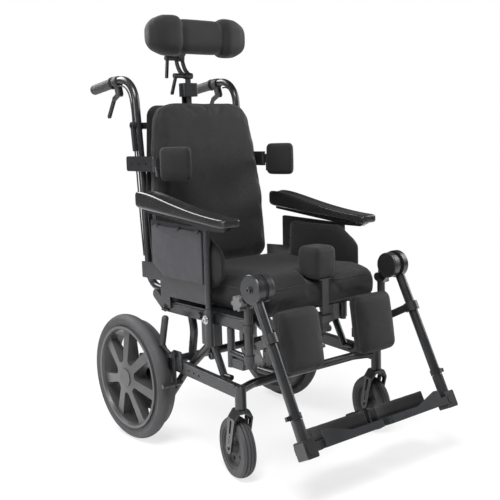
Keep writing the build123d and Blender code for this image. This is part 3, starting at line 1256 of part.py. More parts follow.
# --- Pommel ---------------------------------------------------------------
def pommel_holder():
    """A tongue from the front seat tube that ends in a slotted clamp."""
    mid = TILT_PIVOT[1]
    low = mid - 9
    tongue = block((-20, 20), (POMMEL_BAR_Y - 12, SEAT_CROSS_FRONT_Y), (low, low + 8))
    clamp_y = (POMMEL_BAR_Y - 12, POMMEL_BAR_Y + 12)
    tongue += block((-24, 24), clamp_y, (low - 12, low + 8))
    half_x = POMMEL_BAR_WIDTH / 2 + RUNNING_FIT
    half_y = POMMEL_BAR_THICKNESS / 2 + RUNNING_FIT
    tongue -= block((-half_x, half_x), (POMMEL_BAR_Y - half_y, POMMEL_BAR_Y + half_y), (0, 2 * mid))
    return tongue - rod_x(11 + WELD_GAP, (-60, 60), (SEAT_CROSS_FRONT_Y, mid))


def pommel_bar():
    """The flat upright bar and the plate that the pad is screwed to."""
    half_x = POMMEL_BAR_WIDTH / 2
    half_y = POMMEL_BAR_THICKNESS / 2
    top = POMMEL_BOTTOM - SOFT_GAP
    bar = block(
        (-half_x, half_x), (POMMEL_BAR_Y - half_y, POMMEL_BAR_Y + half_y), (POMMEL_BAR_BOTTOM, top)
    )
    plate_y = (POMMEL_BAR_Y - half_y, POMMEL_BAR_Y + POMMEL_DEPTH - 3 * POMMEL_COVER)
    return bar + block((-half_x - 10, half_x + 10), plate_y, (top - POMMEL_PLATE, top))


def pommel_pad():
    """A rounded block cushion."""
    plane = Plane(origin=(0, POMMEL_BAR_Y - POMMEL_COVER, POMMEL_BOTTOM), x_dir=(1, 0, 0), z_dir=(0, 0, 1))
    half = POMMEL_WIDTH / 2
    deep = POMMEL_DEPTH
    stations = [
        (0, half - 8, 6, deep - 10, 10, 2),
        (10, half - 1, 0, deep - 3, 14, 2),
        (POMMEL_HEIGHT / 2, half, 0, deep - 3, 14, 3),
        (POMMEL_HEIGHT - 12, half - 1, 0, deep - 3, 14, 2),
        (POMMEL_HEIGHT, half - 9, 7, deep - 11, 10, 2),
    ]
    return cushion(plane, stations)


# --- Back -----------------------------------------------------------------
HINGE_BAR_X = SEAT_RAIL_OUTER_X + SIDE_PLAY


def back_side():
    """One bent cane with its flat recline bar, spacer and pin, welded together."""
    points = [CANE_HOOK, CANE_HEEL, CANE_WAIST, CANE_SHOULDER, GRIP_END]
    side = side_pipe(CANE_X, points, CANE_DIAMETER, CANE_DIAMETER - 4, CANE_BENDS)
    x = (HINGE_BAR_X, HINGE_BAR_X + BACK_BAR_THICKNESS)
    front, rear = RECLINE_PLATE_Y
    low, high = RECLINE_PLATE_Z
    face = outline(
        (front, RECLINE_PIVOT[1]),
        (front, high),
        (rear, high - 6),
        (rear, low),
        (front + RECLINE_PLATE_UPRIGHT, low),
        (front + RECLINE_PLATE_UPRIGHT, RECLINE_PIVOT[1]),
    )
    face += strap(RECLINE_PIVOT, CANE_HOOK, BACK_BAR_WIDTH) + Pos(*RECLINE_PIVOT) * Circle(BACK_BAR_WIDTH / 2)
    face = face.face()
    side += side_plate(face, x)
    side += rod_x(CANE_DIAMETER / 2 + 1, (CANE_X - 2, HINGE_BAR_X + 1), CANE_HOOK)
    pin_radius = PIVOT_PIN_RADIUS - 1 - RUNNING_FIT
    return side + rod_x(pin_radius, (SEAT_RAIL_X + 6, x[1]), RECLINE_PIVOT)


def back_cross_tubes():
    """The two tubes between the canes."""
    reach = CANE_X - CANE_DIAMETER / 2 - WELD_GAP
    tubes = []
    for z in (BACK_CROSS_LOW_Z, BACK_CROSS_HIGH_Z):
        at = (cane_y(z), z)
        tubes.append(rod_x(11, (-reach, reach), at) - rod_x(9, (-reach, reach), at))
    return tubes


def head_block():
    """The headrest receiver, on a plate welded to the upper back tube."""
    half = HEAD_BLOCK_WIDTH / 2
    y = (HEAD_BAR_Y - HEAD_BLOCK_DEPTH / 2, HEAD_BAR_Y + HEAD_BLOCK_DEPTH / 2)
    z = (HEAD_BLOCK_Z - HEAD_BLOCK_HEIGHT / 2, HEAD_BLOCK_Z + HEAD_BLOCK_HEIGHT / 2)
    solid = block((-half, half), y, z)
    solid = fillet(solid.edges().filter_by(Axis.Z), 5)
    tube_rear = cane_y(BACK_CROSS_HIGH_Z) + BACK_TUBE_RADIUS + WELD_GAP
    plate_y = (tube_rear, tube_rear + 7)
    solid += block((-half + 10, half - 10), plate_y, (BACK_CROSS_HIGH_Z, z[1] - 6))
    half_x = HEAD_BAR_WIDTH / 2 + RUNNING_FIT
    half_y = HEAD_BAR_THICKNESS / 2 + RUNNING_FIT
    solid -= block((-half_x, half_x), (HEAD_BAR_Y - half_y, HEAD_BAR_Y + half_y), (z[0] - 1, z[1] + 1))
    solid -= rod_x(11 + WELD_GAP, (-60, 60), (cane_y(BACK_CROSS_HIGH_Z), BACK_CROSS_HIGH_Z))
    return solid


LATERAL_PIN = (CANE_X + CANE_DIAMETER / 2 + SOFT_GAP + LATERAL_PLATE_THICKNESS / 2, LATERAL_PLATE_Y[0] - 9)
LATERAL_KNUCKLE = 8


def lateral_plate():
    """The slotted plate screwed to the cane, with the two knuckles of its hinge."""
    x = CANE_X + CANE_DIAMETER / 2 + SOFT_GAP
    y, z = LATERAL_PLATE_Y, LATERAL_PLATE_Z
    plate = block((x, x + LATERAL_PLATE_THICKNESS), y, z)
    plate = fillet(plate.edges().filter_by(Axis.X), 8)
    for low in (z[0], z[1] - LATERAL_KNUCKLE):
        plate += rod_z(LATERAL_KNUCKLE, (low, low + LATERAL_KNUCKLE), LATERAL_PIN)
        plate += block(
            (x, x + LATERAL_PLATE_THICKNESS), (LATERAL_PIN[1], y[0] + 12), (low, low + LATERAL_KNUCKLE)
        )
    plate += rod_z(LATERAL_KNUCKLE / 2, z, LATERAL_PIN)
    for count in range(3):
        at = (y[0] + 36 + count * 40, (z[0] + z[1]) / 2)
        plate -= rod_x(3.5, (x + LATERAL_PLATE_THICKNESS - 3, x + LATERAL_PLATE_THICKNESS + 1), at)
    return plate


def lateral_plane(pad, turn, z):
    """The pad's mid-plane: X runs outwards from it and Y towards its rear."""
    angle = math.radians(turn)
    return Plane(origin=(*pad, z), x_dir=(math.cos(angle), -math.sin(angle), 0), z_dir=(0, 0, 1))


def lateral_arm(pad, turn, reach, plate):
    """The swing-away arm: barrel, flat bar, angled pad plate and release lever."""
    z = (LATERAL_PLATE_Z[0] + LATERAL_KNUCKLE + SIDE_PLAY, LATERAL_PLATE_Z[1] - LATERAL_KNUCKLE - SIDE_PLAY)
    outer = LATERAL_PIN[0] + LATERAL_KNUCKLE
    bar_x = outer - LATERAL_BAR / 2
    out = (LATERAL_PAD_THICKNESS + LATERAL_BAR) / 2 + SOFT_GAP
    frame = lateral_plane(pad, turn, 0)
    ends = [frame.from_local_coords((out, along, 0)) for along in plate]
    near = min(ends, key=lambda end: abs(end.Y - reach))
    face = strap((bar_x, LATERAL_PIN[1]), (bar_x, reach), LATERAL_BAR)
    face += strap((bar_x, reach), (near.X, near.Y), LATERAL_BAR)
    face += strap((ends[0].X, ends[0].Y), (ends[1].X, ends[1].Y), LATERAL_BAR)
    arm = rod_z(LATERAL_KNUCKLE, z, LATERAL_PIN)
    arm += Pos(0, 0, z[0]) * extrude(face, z[1] - z[0])
    lever_y = LATERAL_PIN[1] - 16
    arm += block((outer - 5, outer - 1), (lever_y - 6, lever_y + 6), (z[0] - 26, z[0] + 1))
    return arm - rod_z(LATERAL_KNUCKLE / 2 + RUNNING_FIT, (0, 2 * z[1]), LATERAL_PIN)


def lateral_pad(pad, turn):
    """A square cushion with a domed face towards the sitter."""
    half = LATERAL_PAD_SIZE / 2
    thick = LATERAL_PAD_THICKNESS
    middle = (LATERAL_PLATE_Z[0] + LATERAL_PLATE_Z[1]) / 2
    frame = lateral_plane(pad, turn, middle - half)
    origin = frame.from_local_coords((thick / 2, 0, 0))
    plane = Plane(origin=origin, x_dir=frame.y_dir, z_dir=(0, 0, 1))
    size = LATERAL_PAD_SIZE
    stations = [
        (0, half - 9, 3, thick - 9, 7, 2),
        (10, half - 1, 0, thick - 4, 10, 4),
        (size / 2, half, 0, thick - 4, 11, 4),
        (size - 10, half - 1, 0, thick - 4, 10, 4),
        (size, half - 9, 3, thick - 9, 7, 2),
    ]
    return cushion(plane, stations)


def push_grip():
    """The rubber grip with its front flange."""
    run = Vector(*GRIP_END) - Vector(*CANE_SHOULDER)
    slope = math.degrees(math.atan2(run.Y, run.X))
    grip = rod_y(GRIP_DIAMETER / 2, (-GRIP_LENGTH, 4), (0, 0))
    grip = fillet(grip.edges().group_by(Axis.Y)[-1], 6)
    collar = rod_y(GRIP_DIAMETER / 2 + 3, (-GRIP_LENGTH, 8 - GRIP_LENGTH), (0, 0))
    grip += collar
    grip -= rod_y(CANE_DIAMETER / 2 + WELD_GAP, (-GRIP_LENGTH - 1, WELD_GAP), (0, 0))
    return Pos(CANE_X, *GRIP_END) * Rot(slope, 0, 0) * grip


def brake_perch():
    """The clamp under the handle tube with two ears and the lever's pin."""
    y, z = BRAKE_LEVER_PIVOT
    half = LEVER_THICKNESS / 2
    share = (PERCH_Y - CANE_SHOULDER[0]) / (GRIP_END[0] - CANE_SHOULDER[0])
    tube_z = CANE_SHOULDER[1] + share * (GRIP_END[1] - CANE_SHOULDER[1])
    perch = rod_y(CANE_DIAMETER / 2 + 5, (PERCH_Y - 12, PERCH_Y + 12), (CANE_X, tube_z))
    for side in (-1, 1):
        x = sorted((CANE_X + side * (half + SIDE_PLAY), CANE_X + side * (half + SIDE_PLAY + 5)))
        perch += side_plate(strap((PERCH_Y, tube_z), (y, z), 20), x)
    perch += rod_x(4, (CANE_X - half - 6, CANE_X + half + 6), (y, z))
    run = Vector(*GRIP_END) - Vector(*CANE_SHOULDER)
    slope = math.degrees(math.atan2(run.Y, run.X))
    bore = Pos(CANE_X, PERCH_Y, tube_z) * Rot(slope, 0, 0) * rod_y(CANE_DIAMETER / 2 + WELD_GAP, (-60, 60), (0, 0))
    return perch - bore


def brake_lever():
    """A squeeze lever with a hooked finger end."""
    half = LEVER_THICKNESS / 2
    y, z = BRAKE_LEVER_PIVOT
    tip = BRAKE_LEVER_TIP
    bend = (y + 34, z - 16)
    face = strap((y, z), bend, 15) + strap(bend, tip, 13)
    lever = side_plate(face, (CANE_X - half, CANE_X + half))
    return lever - rod_x(4 + RUNNING_FIT, (0, 2 * CANE_X), BRAKE_LEVER_PIVOT)


def release_stud():
    """The stud on the right cane that the release lever turns on."""
    x = CANE_X + CANE_DIAMETER / 2 + WELD_GAP
    return rod_x(4, (x, x + 16), RELEASE_STUD)


RELEASE_STUD = (cane_y(RELEASE_LEVER_PIVOT[1]), RELEASE_LEVER_PIVOT[1])


def release_lever():
    """A cam lever that hangs along the cane."""
    x = CANE_X + CANE_DIAMETER / 2 + SIDE_PLAY + WELD_GAP
    tip = (RELEASE_STUD[0] - 8, RELEASE_STUD[1] - RELEASE_LEVER_LENGTH)
    lever = side_plate(Pos(*RELEASE_STUD) * Circle(11), (x, x + 12))
    lever += side_plate(strap(RELEASE_STUD, tip, 13), (x + 5, x + 12))
    return lever - rod_x(4 + RUNNING_FIT, (0, 2 * CANE_X), RELEASE_STUD)


def back_shell():
    """A thin moulded shell behind the cushion, with standoffs to the tubes."""
    lean = math.radians(BACK_LEAN)
    height = (BACK_CUSHION_TOP - BACK_CUSHION_BOTTOM) / math.cos(lean)
    low, high = BACK_CUSHION_LOW_HALF_WIDTH - 8, BACK_CUSHION_TOP_HALF_WIDTH - 6
    face = outline((-low, 8), (low, 8), (low, height * 0.4), (high, height - 8), (-high, height - 8), (-low, height * 0.4))
    face = fillet(face.vertices(), 40)
    shell = extrude(face, BACK_SHELL_THICKNESS)
    start_y = BACK_CUSHION_REAR_Y + SOFT_GAP
    plane = Plane(
        origin=(0, start_y, BACK_CUSHION_BOTTOM),
        x_dir=(-1, 0, 0),
        z_dir=(0, math.cos(lean), -math.sin(lean)),
    )
    shell = plane * shell
    for z in (BACK_CROSS_LOW_Z, BACK_CROSS_HIGH_Z):
        rear = start_y + (z - BACK_CUSHION_BOTTOM) * math.tan(lean) + BACK_SHELL_THICKNESS - 1
        for side in (-1, 1):
            shell += block((side * 120, side * 150), (rear, cane_y(z)), (z - 14, z + 14))
        shell -= rod_x(11 + WELD_GAP, (-200, 200), (cane_y(z), z))
        shell -= block((-200, 200), (cane_y(z), cane_y(z) + 60), (z - 30, z + 30))
    return shell


def back_cushion():
    """A tall cushion: wide at the hips, narrow at the rounded top, side crowns."""
    lean = math.radians(BACK_LEAN)
    up = (0, math.sin(lean), math.cos(lean))
    height = (BACK_CUSHION_TOP - BACK_CUSHION_BOTTOM) / math.cos(lean)
    plane = Plane(origin=(0, BACK_CUSHION_REAR_Y, BACK_CUSHION_BOTTOM), x_dir=(-1, 0, 0), z_dir=up)
    thick = BACK_CUSHION_THICKNESS
    wide, narrow = BACK_CUSHION_LOW_HALF_WIDTH, BACK_CUSHION_TOP_HALF_WIDTH
    stations = [
        (0, wide - 22, 6, thick - 16, 14, 2),
        (22, wide - 4, 0, thick - 4, 22, 4),
        (height * 0.36, wide, 0, thick, 26, 2),
        (height * 0.72, (wide + narrow) / 2, 0, thick, 26, 2),
        (height * 0.9, narrow, 0, thick - 4, 24, 2),
        (height * 0.97, narrow - 22, 0, thick - 12, 20, 2),
        (height, narrow - 66, 8, thick - 26, 10, 2),
    ]
    return cushion(plane, stations)


# --- Headrest -------------------------------------------------------------
def headrest_bar():
    """The flat bar that slides in the receiver, with the lower joint's eye."""
    half_x = HEAD_BAR_WIDTH / 2
    half_y = HEAD_BAR_THICKNESS / 2
    y = (HEAD_BAR_Y - half_y, HEAD_BAR_Y + half_y)
    bar = block((-half_x, half_x), y, (HEAD_BAR_BOTTOM, HEAD_JOINT_LOW_Z))
    bar += rod_x(11, (-half_x, half_x), (HEAD_BAR_Y, HEAD_JOINT_LOW_Z))
    return bar - rod_x(HEAD_PIN_RADIUS + RUNNING_FIT, (-40, 40), (HEAD_BAR_Y, HEAD_JOINT_LOW_Z))


def headrest_link():
    """Two curved cheeks between the joints, with both pins and lever studs."""
    low = (HEAD_BAR_Y, HEAD_JOINT_LOW_Z)
    high = HEAD_JOINT_HIGH
    middle = ((low[0] + high[0]) / 2 + 9, (low[1] + high[1]) / 2 - 7)
    curve = ThreePointArc(low, middle, high)
    face = trace(curve.edges(), HEAD_LINK_WIDTH * 0.7)
    face += Pos(*low) * Circle(HEAD_LINK_WIDTH / 2)
    face += Pos(*high) * Circle(HEAD_LINK_WIDTH / 2)
    half = HEAD_BAR_WIDTH / 2 + SIDE_PLAY
    link = side_plate(face, (half, half + HEAD_LINK_THICKNESS))
    link += side_plate(face, (-half - HEAD_LINK_THICKNESS, -half))
    for at in (low, high):
        link += rod_x(HEAD_PIN_RADIUS, (-half - HEAD_LINK_THICKNESS - 14, half + 1), at)
    return link


def headrest_stem():
    """The cranked flat from the upper joint to the plate behind the pads."""
    half = HEAD_BAR_WIDTH / 2
    rear = HEAD_PAD_Y + HEAD_PAD_HALF_DEPTH + SOFT_GAP
    foot = (rear + 6, HEAD_PAD_Z)
    stem = side_plate(strap(HEAD_JOINT_HIGH, foot, HEAD_LINK_WIDTH), (-half, half))
    stem += Pos(0, rear + 3, HEAD_PAD_Z) * Box(84, 6, 58)
    stem -= block((-60, 60), (rear - 60, rear), (HEAD_PAD_Z - 60, HEAD_PAD_Z + 60))
    return stem - rod_x(HEAD_PIN_RADIUS + RUNNING_FIT, (-40, 40), HEAD_JOINT_HIGH)


def headrest_pads():
    """A middle roll and two larger wings that reach forward."""
    along = Plane(origin=(-HEAD_ROLL_HALF_LENGTH, HEAD_PAD_Y, HEAD_PAD_Z), x_dir=(0, 1, 0), z_dir=(1, 0, 0))
    deep, tall = HEAD_PAD_HALF_DEPTH, HEAD_PAD_HALF_HEIGHT
    length = 2 * HEAD_ROLL_HALF_LENGTH
    roll = cushion(
        along,
        [
            (0, deep - 8, 10 - tall, tall - 10, 22, 1),
            (12, deep, -tall, tall - 2, 32, 2),
            (length - 12, deep, -tall, tall - 2, 32, 2),
            (length, deep - 8, 10 - tall, tall - 10, 22, 1),
        ],
    )
    start = HEAD_ROLL_HALF_LENGTH + SOFT_GAP
    turn = math.radians(HEAD_WING_TURN)
    out = Plane(
        origin=(start, HEAD_PAD_Y - HEAD_WING_FORWARD, HEAD_PAD_Z),
        x_dir=(-math.sin(turn), math.cos(turn), 0),
        z_dir=(math.cos(turn), math.sin(turn), 0),
    )
    deep, tall = HEAD_WING_HALF_DEPTH, HEAD_WING_HALF_HEIGHT
    length = HEAD_WING_LENGTH
    wing = cushion(
        out,
        [
            (2, deep * 0.84, -tall * 0.9, tall * 0.9, 30, 1),
            (16, deep, -tall, tall - 2, 40, 2),
            (length * 0.52, deep, -tall * 0.96, tall * 0.95, 42, 2),
            (length * 0.84, deep * 0.78, -tall * 0.74, tall * 0.73, 32, 2),
            (length, deep * 0.42, -tall * 0.44, tall * 0.43, 16, 1),
        ],
    )
    wing -= block((-HEAD_ROLL_HALF_LENGTH, start), (0, 2 * HEAD_PAD_Y), (0, 2 * HEAD_PAD_Z))
    return Compound([*roll.solids(), *both(wing).solids()])


def clamp_lever(at, lean):
    """A headrest clamp: ribbed head on the joint's stud and a hanging handle."""
    start = -(HEAD_BAR_WIDTH / 2 + 2 * SIDE_PLAY + HEAD_LINK_THICKNESS)
    end = start - CLAMP_HEAD_LENGTH
    head = rod_x(CLAMP_HEAD_RADIUS, (end, start), at)
    turn = math.radians(lean)
    tip = (at[0] + CLAMP_HANDLE_LENGTH * math.sin(turn), at[1] - CLAMP_HANDLE_LENGTH * math.cos(turn))
    head += side_plate(strap(at, tip, 9), (end + 4, end + 12))
    return head - rod_x(HEAD_PIN_RADIUS + RUNNING_FIT, (start - 16, start + 1), at)


# --- Brake cables ---------------------------------------------------------
CABLE_X = CANE_X + 8
CABLE_OFFSET = 13.6  # behind the cane's line, where the cable lies against it
CABLE_BOW = 7  # how far it stands off the cane at the middle of its run
CABLE_BEND_CENTRE = (356, 1060)
CABLE_BEND_RADIUS = 64
CABLE_BEND_ANGLES = (105, 125, 145, 165)
CABLE_TOP = (360, 1121)
CABLE_HEIGHTS = (1036, 990, 930, 870, 810, 750, 690, 630, 572)


def cable_route():
    """Points from the perch, inside the cane's bend and down behind the cane."""
    route = [CABLE_TOP]
    for angle in CABLE_BEND_ANGLES:
        turn = math.radians(angle)
        y = CABLE_BEND_CENTRE[0] + CABLE_BEND_RADIUS * math.cos(turn)
        route.append((y, CABLE_BEND_CENTRE[1] + CABLE_BEND_RADIUS * math.sin(turn)))
    high, low = CABLE_HEIGHTS[0], CABLE_HEIGHTS[-1]
    for z in CABLE_HEIGHTS:
        bow = CABLE_BOW * math.sin(math.pi * (z - low) / (high - low))
        route.append((cane_y(z) + CABLE_OFFSET + bow, z))
    return route


def cable_radii(route):
    """The largest tangent arc at each inner point of a route."""
    radii = []
    for before, here, after in zip(route, route[1:], route[2:]):
        run_in = Vector(*here) - Vector(*before)
        run_out = Vector(*after) - Vector(*here)
        half_turn = math.radians(run_in.get_angle(run_out)) / 2
        radii.append(0.45 * min(run_in.length, run_out.length) / math.tan(half_turn))
    return radii


def brake_cable():
    """The outer cable from the lever's perch down behind the cane."""
    route = cable_route()
    radii = cable_radii(route)
    print("cable radii", [round(r) for r in radii])
    return side_pipe(CABLE_X, route, CABLE_DIAMETER, 0, radii)


# --- The whole chair ------------------------------------------------------
def group(*shapes):
    """Separate solids that share a node."""
    return Compound([solid for shape in shapes for solid in shape.solids()])


def base_nodes():
    """The fixed base: rails, heads, tubes, struts, columns and axle plates."""
    return {
        "base_side_frames": group(base_side_rails(), caster_heads(), both(wheel_lock_bracket())),
        "base_cross_tubes": group(front_cross_tube(), rear_cross_tube(), gas_base_lug()),
        "tilt_columns": group(
            both(tilt_columns()), column_struts(), tilt_pivot_pins(), tilt_stop_bumpers()
        ),
        "axle_plates": group(axle_plates(), both(rear_axles())),
    }


def side_nodes(name, side):
    """The nodes of one side: wheels, caster, lock, arm rest and leg rest."""
    flip = (lambda shape: shape) if side > 0 else right
    drop = LEFT_ARM_DROP if side > 0 else 0
    lower = Pos(0, 0, -drop)
    lateral = LATERAL_LEFT if side > 0 else LATERAL_RIGHT
    hip_drop = LEFT_HIP_PAD_DROP if side > 0 else 0
    wheel = group(place_caster(caster_tyre(), side), place_caster(caster_hub(), side))
    plate = group(lean_leg(foot_plate()), lean_leg(heel_band()))
    return {
        f"{name}_rear_tyre": flip(rear_tyre()),
        f"{name}_rear_rim": flip(rear_rim()),
        f"{name}_caster_fork": place_caster(caster_fork(), side),
        f"{name}_caster_wheel": wheel,
        f"{name}_wheel_lock_lever": flip(wheel_lock_lever()),
        f"{name}_wheel_lock_shoe": flip(wheel_lock_shoe()),
        f"{name}_arm_pad": flip(lower * arm_pad()),
        f"{name}_arm_frame": flip(lower * arm_frame()),
        f"{name}_hip_pad": flip(Pos(0, 0, -hip_drop) * hip_pad()),
        f"{name}_leg_hanger": flip(leg_hanger()),
        f"{name}_star_knob": flip(star_knob()),
        f"{name}_leg_tube": flip(leg_tube()),
        f"{name}_foot_stem": flip(foot_stem()),
        f"{name}_foot_plate": flip(plate),
        f"{name}_calf_arm": flip(calf_arm()),
        f"{name}_calf_pad": flip(calf_pad()),
        f"{name}_lateral_arm": flip(lateral_arm(**lateral)),
        f"{name}_lateral_pad": flip(lateral_pad(lateral["pad"], lateral["turn"])),
        f"{name}_brake_lever": flip(brake_lever()),
    }


def middle_nodes():
    """Seat, gas spring, pommel, back and headrest."""
    cross = seat_cross_tubes()
    low_joint = (HEAD_BAR_Y, HEAD_JOINT_LOW_Z)
    canes = group(both(back_side()), *back_cross_tubes(), head_block())
    fittings = group(both(lateral_plate()), right(release_stud()))
    return {
        "gas_spring_cylinder": gas_cylinder(),
        "gas_spring_rod": gas_rod(),
        "seat_frame": group(
            seat_rails(),
            cross,
            gas_seat_lug(),
            pommel_holder(),
            seat_legs(),
            arm_sockets(),
            seat_pan(),
            leg_receivers(),
        ),
        "seat_cushion": seat_cushion(),
        "pommel_bar": pommel_bar(),
        "pommel_pad": pommel_pad(),
        "back_frame": group(canes, fittings),
        "push_grips": group(both(push_grip()), both(brake_perch())),
        "back_shell": back_shell(),
        "back_cushion": back_cushion(),
        "back_release_lever": right(release_lever()),
        "headrest_bar": headrest_bar(),
        "headrest_link": headrest_link(),
        "headrest_stem": headrest_stem(),
        "headrest_pads": headrest_pads(),
        "headrest_lower_lever": clamp_lever(low_joint, 25),
        "headrest_upper_lever": clamp_lever(HEAD_JOINT_HIGH, 8),
        "brake_cables": both(brake_cable()),
    }


def build():
    """Every node, with the origin under the middle of the chair's box."""
    nodes = base_nodes()
    for name, side in (("right", -1), ("left", 1)):
        nodes.update(side_nodes(name, side))
    nodes.update(middle_nodes())
    boxes = [shape.bounding_box(optimal=False) for shape in nodes.values()]
    rear = max(box.max.Y for box in boxes)
    front = min(box.min.Y for box in boxes)
    middle = (rear + front) / 2
    return {name: Pos(0, -middle, 0) * shape for name, shape in nodes.items()}, middle


if __name__ == "__main__":
    os.makedirs("parts", exist_ok=True)
    chair, middle = build()
    for name, shape in chair.items():
        export_step(shape, f"parts/{name}.step")
    print("nodes", len(chair), "middle", round(middle, 3))
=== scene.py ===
"""Tilt-in-space wheelchair: finishes, upholstery, small fittings and setting.

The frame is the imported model's: metres, with the chair facing -Y and standing on Z = 0.
Places and sizes taken from the part's drawing are in millimetres and go through Drawing.
"""

from __future__ import annotations

import json
import logging
import math
from dataclasses import dataclass
from enum import Enum
from typing import NamedTuple

import bmesh
import bpy
from mathutils import Matrix, Vector, noise

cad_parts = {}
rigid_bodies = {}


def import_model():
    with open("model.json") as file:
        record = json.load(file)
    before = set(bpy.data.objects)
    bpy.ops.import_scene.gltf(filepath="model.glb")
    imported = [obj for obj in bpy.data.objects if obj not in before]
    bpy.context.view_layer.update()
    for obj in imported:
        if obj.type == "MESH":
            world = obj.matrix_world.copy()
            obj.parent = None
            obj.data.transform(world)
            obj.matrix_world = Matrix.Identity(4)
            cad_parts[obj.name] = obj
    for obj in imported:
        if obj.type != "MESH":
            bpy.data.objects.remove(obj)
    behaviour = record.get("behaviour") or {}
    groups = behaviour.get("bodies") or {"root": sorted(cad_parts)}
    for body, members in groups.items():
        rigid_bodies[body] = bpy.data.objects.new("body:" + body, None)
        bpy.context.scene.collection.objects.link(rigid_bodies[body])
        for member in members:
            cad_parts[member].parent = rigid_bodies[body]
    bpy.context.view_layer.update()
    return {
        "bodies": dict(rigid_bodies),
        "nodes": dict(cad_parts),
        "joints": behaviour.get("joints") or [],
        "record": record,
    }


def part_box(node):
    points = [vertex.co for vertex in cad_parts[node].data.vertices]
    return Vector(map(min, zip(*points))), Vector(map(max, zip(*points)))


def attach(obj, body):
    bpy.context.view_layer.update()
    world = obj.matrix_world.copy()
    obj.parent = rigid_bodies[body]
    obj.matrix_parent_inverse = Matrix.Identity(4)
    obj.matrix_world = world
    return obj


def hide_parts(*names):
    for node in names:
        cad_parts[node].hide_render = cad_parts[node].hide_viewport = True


LOG = logging.getLogger("wheelchair")

Tree = bpy.types.NodeTree
Node = bpy.types.Node
Shell = bmesh.types.BMesh
Vert = bmesh.types.BMVert


class Side(NamedTuple):
    """One side of the chair.

    Attributes:
        name: The word that its pieces and bodies start with.
        sign: Its direction along X.
        drop: How far its arm rest is set below the drawn one, in millimetres.
    """

    name: str
    sign: int
    drop: float


SIDES = (Side("right", -1, 0.0), Side("left", 1, 33.0))


# Scale and detail of the noise that clouds the colour and that smears the gloss.
CLOUD = (9.0, 4.0)
SMEAR = (34.0, 3.0)
# Where on the clouds the first and the second colour are pure.
CLOUD_ENDS = (0.35, 0.68)
ROUGHNESS_SPREAD = 0.09
LEAST_ROUGHNESS = 0.05
RELIEF_DETAIL = 6.0
RELIEF_DEPTH = 0.0006
WEAVE_DISTORTION = 0.6


class Surface(Enum):
    """Kinds of surface that a finish can have."""

    PAINT = "paint"
    PLASTIC = "plastic"
    RUBBER = "rubber"
    WOVEN = "woven"
    STEEL = "steel"


SURFACE_INPUTS = {
    Surface.WOVEN: {"Sheen Weight": 0.12, "Sheen Roughness": 0.5, "Specular IOR Level": 0.25},
    Surface.PAINT: {"Coat Weight": 0.25, "Coat Roughness": 0.25},
}


def set_inputs(node: Node, values: dict[str, float | tuple[float, ...]]) -> None:
    """Sets inputs of a node.

    Args:
        node: The node.
        values: The values by the names of their inputs.
    """
    for key, value in values.items():
        node.inputs[key].default_value = value


